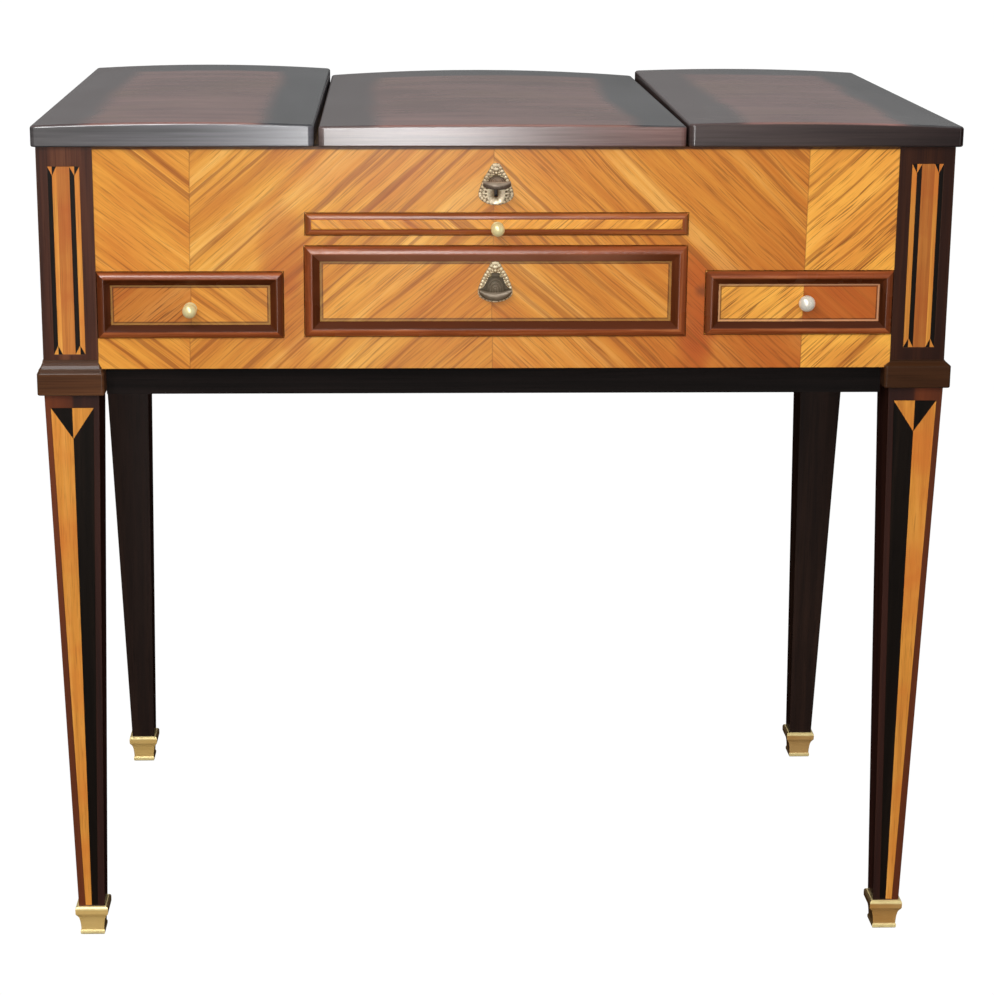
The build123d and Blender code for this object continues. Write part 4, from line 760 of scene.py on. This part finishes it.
# it glows as evenly white as a light table, and is seen by the camera only
glow = bpy.data.materials.new("floor_white")
glow.use_nodes = True
gt = glow.node_tree
gt.nodes.clear()
g_out, g_em, g_tc, g_no, g_ra = (gt.nodes.new(k) for k in ("ShaderNodeOutputMaterial", "ShaderNodeEmission", "ShaderNodeTexCoord", "ShaderNodeTexNoise", "ShaderNodeValToRGB"))
gt.links.new(g_tc.outputs["Object"], g_no.inputs["Vector"])
g_no.inputs["Scale"].default_value = 2.0
gt.links.new(g_no.outputs["Fac"], g_ra.inputs[0])
g_ra.color_ramp.elements[0].color, g_ra.color_ramp.elements[1].color = (1.0, 1.0, 1.0, 1.0), (1.02, 1.02, 1.02, 1.0)
gt.links.new(g_ra.outputs[0], g_em.inputs[0])
g_em.inputs[1].default_value = 1.01
gt.links.new(g_em.outputs[0], g_out.inputs[0])
floor_me.materials.append(glow)
# a round white backdrop with the same glow closes the room
drop_me = bpy.data.meshes.new("backdrop")
bm = bmesh.new()
turn = [(29.0 * math.cos(2 * math.pi * k / 64), 29.0 * math.sin(2 * math.pi * k / 64)) for k in range(64)]
low, high = [bm.verts.new((x, y, -0.02)) for x, y in turn], [bm.verts.new((x, y, 26.0)) for x, y in turn]
for k in range(64):
    bm.faces.new((low[k], high[k], high[(k + 1) % 64], low[(k + 1) % 64]))
bm.faces.new(high[::-1])
bm.to_mesh(drop_me)
bm.free()
drop_me.materials.append(glow)
backdrop = bpy.data.objects.new("backdrop", drop_me)
bpy.context.scene.collection.objects.link(backdrop)
for o in (floor, backdrop):
    o.visible_glossy = o.visible_diffuse = o.visible_shadow = o.visible_transmission = False

# the room: paler above than below, and too dark to be mirrored in the polish
world = bpy.data.worlds.new("studio")
bpy.context.scene.world = world
world.use_nodes = True
wt = world.node_tree
w_tc, w_sep, w_map = (wt.nodes.new(k) for k in ("ShaderNodeTexCoord", "ShaderNodeSeparateXYZ", "ShaderNodeMapRange"))
w_map.interpolation_type = "SMOOTHSTEP"
wt.links.new(w_tc.outputs["Generated"], w_sep.inputs[0])
wt.links.new(w_sep.outputs[2], w_map.inputs["Value"])
for k, v in zip(("From Min", "From Max", "To Min", "To Max"), (-0.35, 0.35, 0.24, 0.62)):
    w_map.inputs[k].default_value = v
wt.links.new(w_map.outputs[0], wt.nodes["Background"].inputs[1])
wt.nodes["Background"].inputs[0].default_value = (1.0, 1.0, 1.0, 1.0)
world.cycles_visibility.glossy = False


def area(name, loc, target, size, power, size_y=None, colour=(1, 1, 1)):
    l = bpy.data.lights.new(name, "AREA")
    l.shape = "RECTANGLE"
    l.size, l.size_y = size, size_y or size
    l.energy = power
    l.color = colour
    o = bpy.data.objects.new(name, l)
    bpy.context.scene.collection.objects.link(o)
    o.visible_camera = False
    o.location = loc
    o.rotation_euler = (Vector(target) - Vector(loc)).to_track_quat("-Z", "Y").to_euler()
    return o


area("window", (-0.05, -3.9, 1.55), (-0.05, 0, 1.55), 0.44, 46.0, 2.7)
area("window_low", (-0.05, -3.9, -0.35), (-0.05, 0, -0.35), 0.44, 5.0, 1.1)
area("key", (-1.0, -2.6, 2.7), (0.0, -0.2, 0.6), 1.2, 40.0, 1.0)
area("left_panel", (-1.75, -3.6, 1.2), (-0.1, 0, 0.7), 1.9, 8.0, 1.9)
area("right_panel", (2.3, -2.4, 1.0), (0, 0, 0.5), 1.0, 3.0, 1.6)
area("behind", (0.0, 2.6, 1.55), (0, 0, 0.8), 4.0, 4.0, 1.4)

YF = front_y
f_px, cx, cy = 2375.2115, 439.943, 446.0297
yaw, pitch, roll = 0.02488, 0.24744, 0.0030
fwd = Vector((math.sin(yaw) * math.cos(pitch), math.cos(yaw) * math.cos(pitch), -math.sin(pitch)))
right = Vector((math.cos(yaw), -math.sin(yaw), 0.0))
up = right.cross(fwd)
r2 = right * math.cos(roll) + up * math.sin(roll)
u2 = -right * math.sin(roll) + up * math.cos(roll)
cam_data = bpy.data.cameras.new("camera")
cam = bpy.data.objects.new("camera", cam_data)
bpy.context.scene.collection.objects.link(cam)
rot = Matrix((r2, u2, -fwd)).transposed()
cam.matrix_world = Matrix.Translation(Vector((-0.1003706, -2.0552122 + YF, 0.9976979))) @ rot.to_4x4()
cam_data.sensor_fit = "VERTICAL"
cam_data.sensor_height = 36.0
cam_data.lens = f_px * 36.0 / 995.0
cam_data.shift_x = (497.0 - cx) / 995.0
cam_data.shift_y = (cy - 497.5) / 995.0
cam_data.clip_end = 50.0
bpy.context.scene.camera = cam

scene = bpy.context.scene
scene.view_settings.view_transform = "Standard"
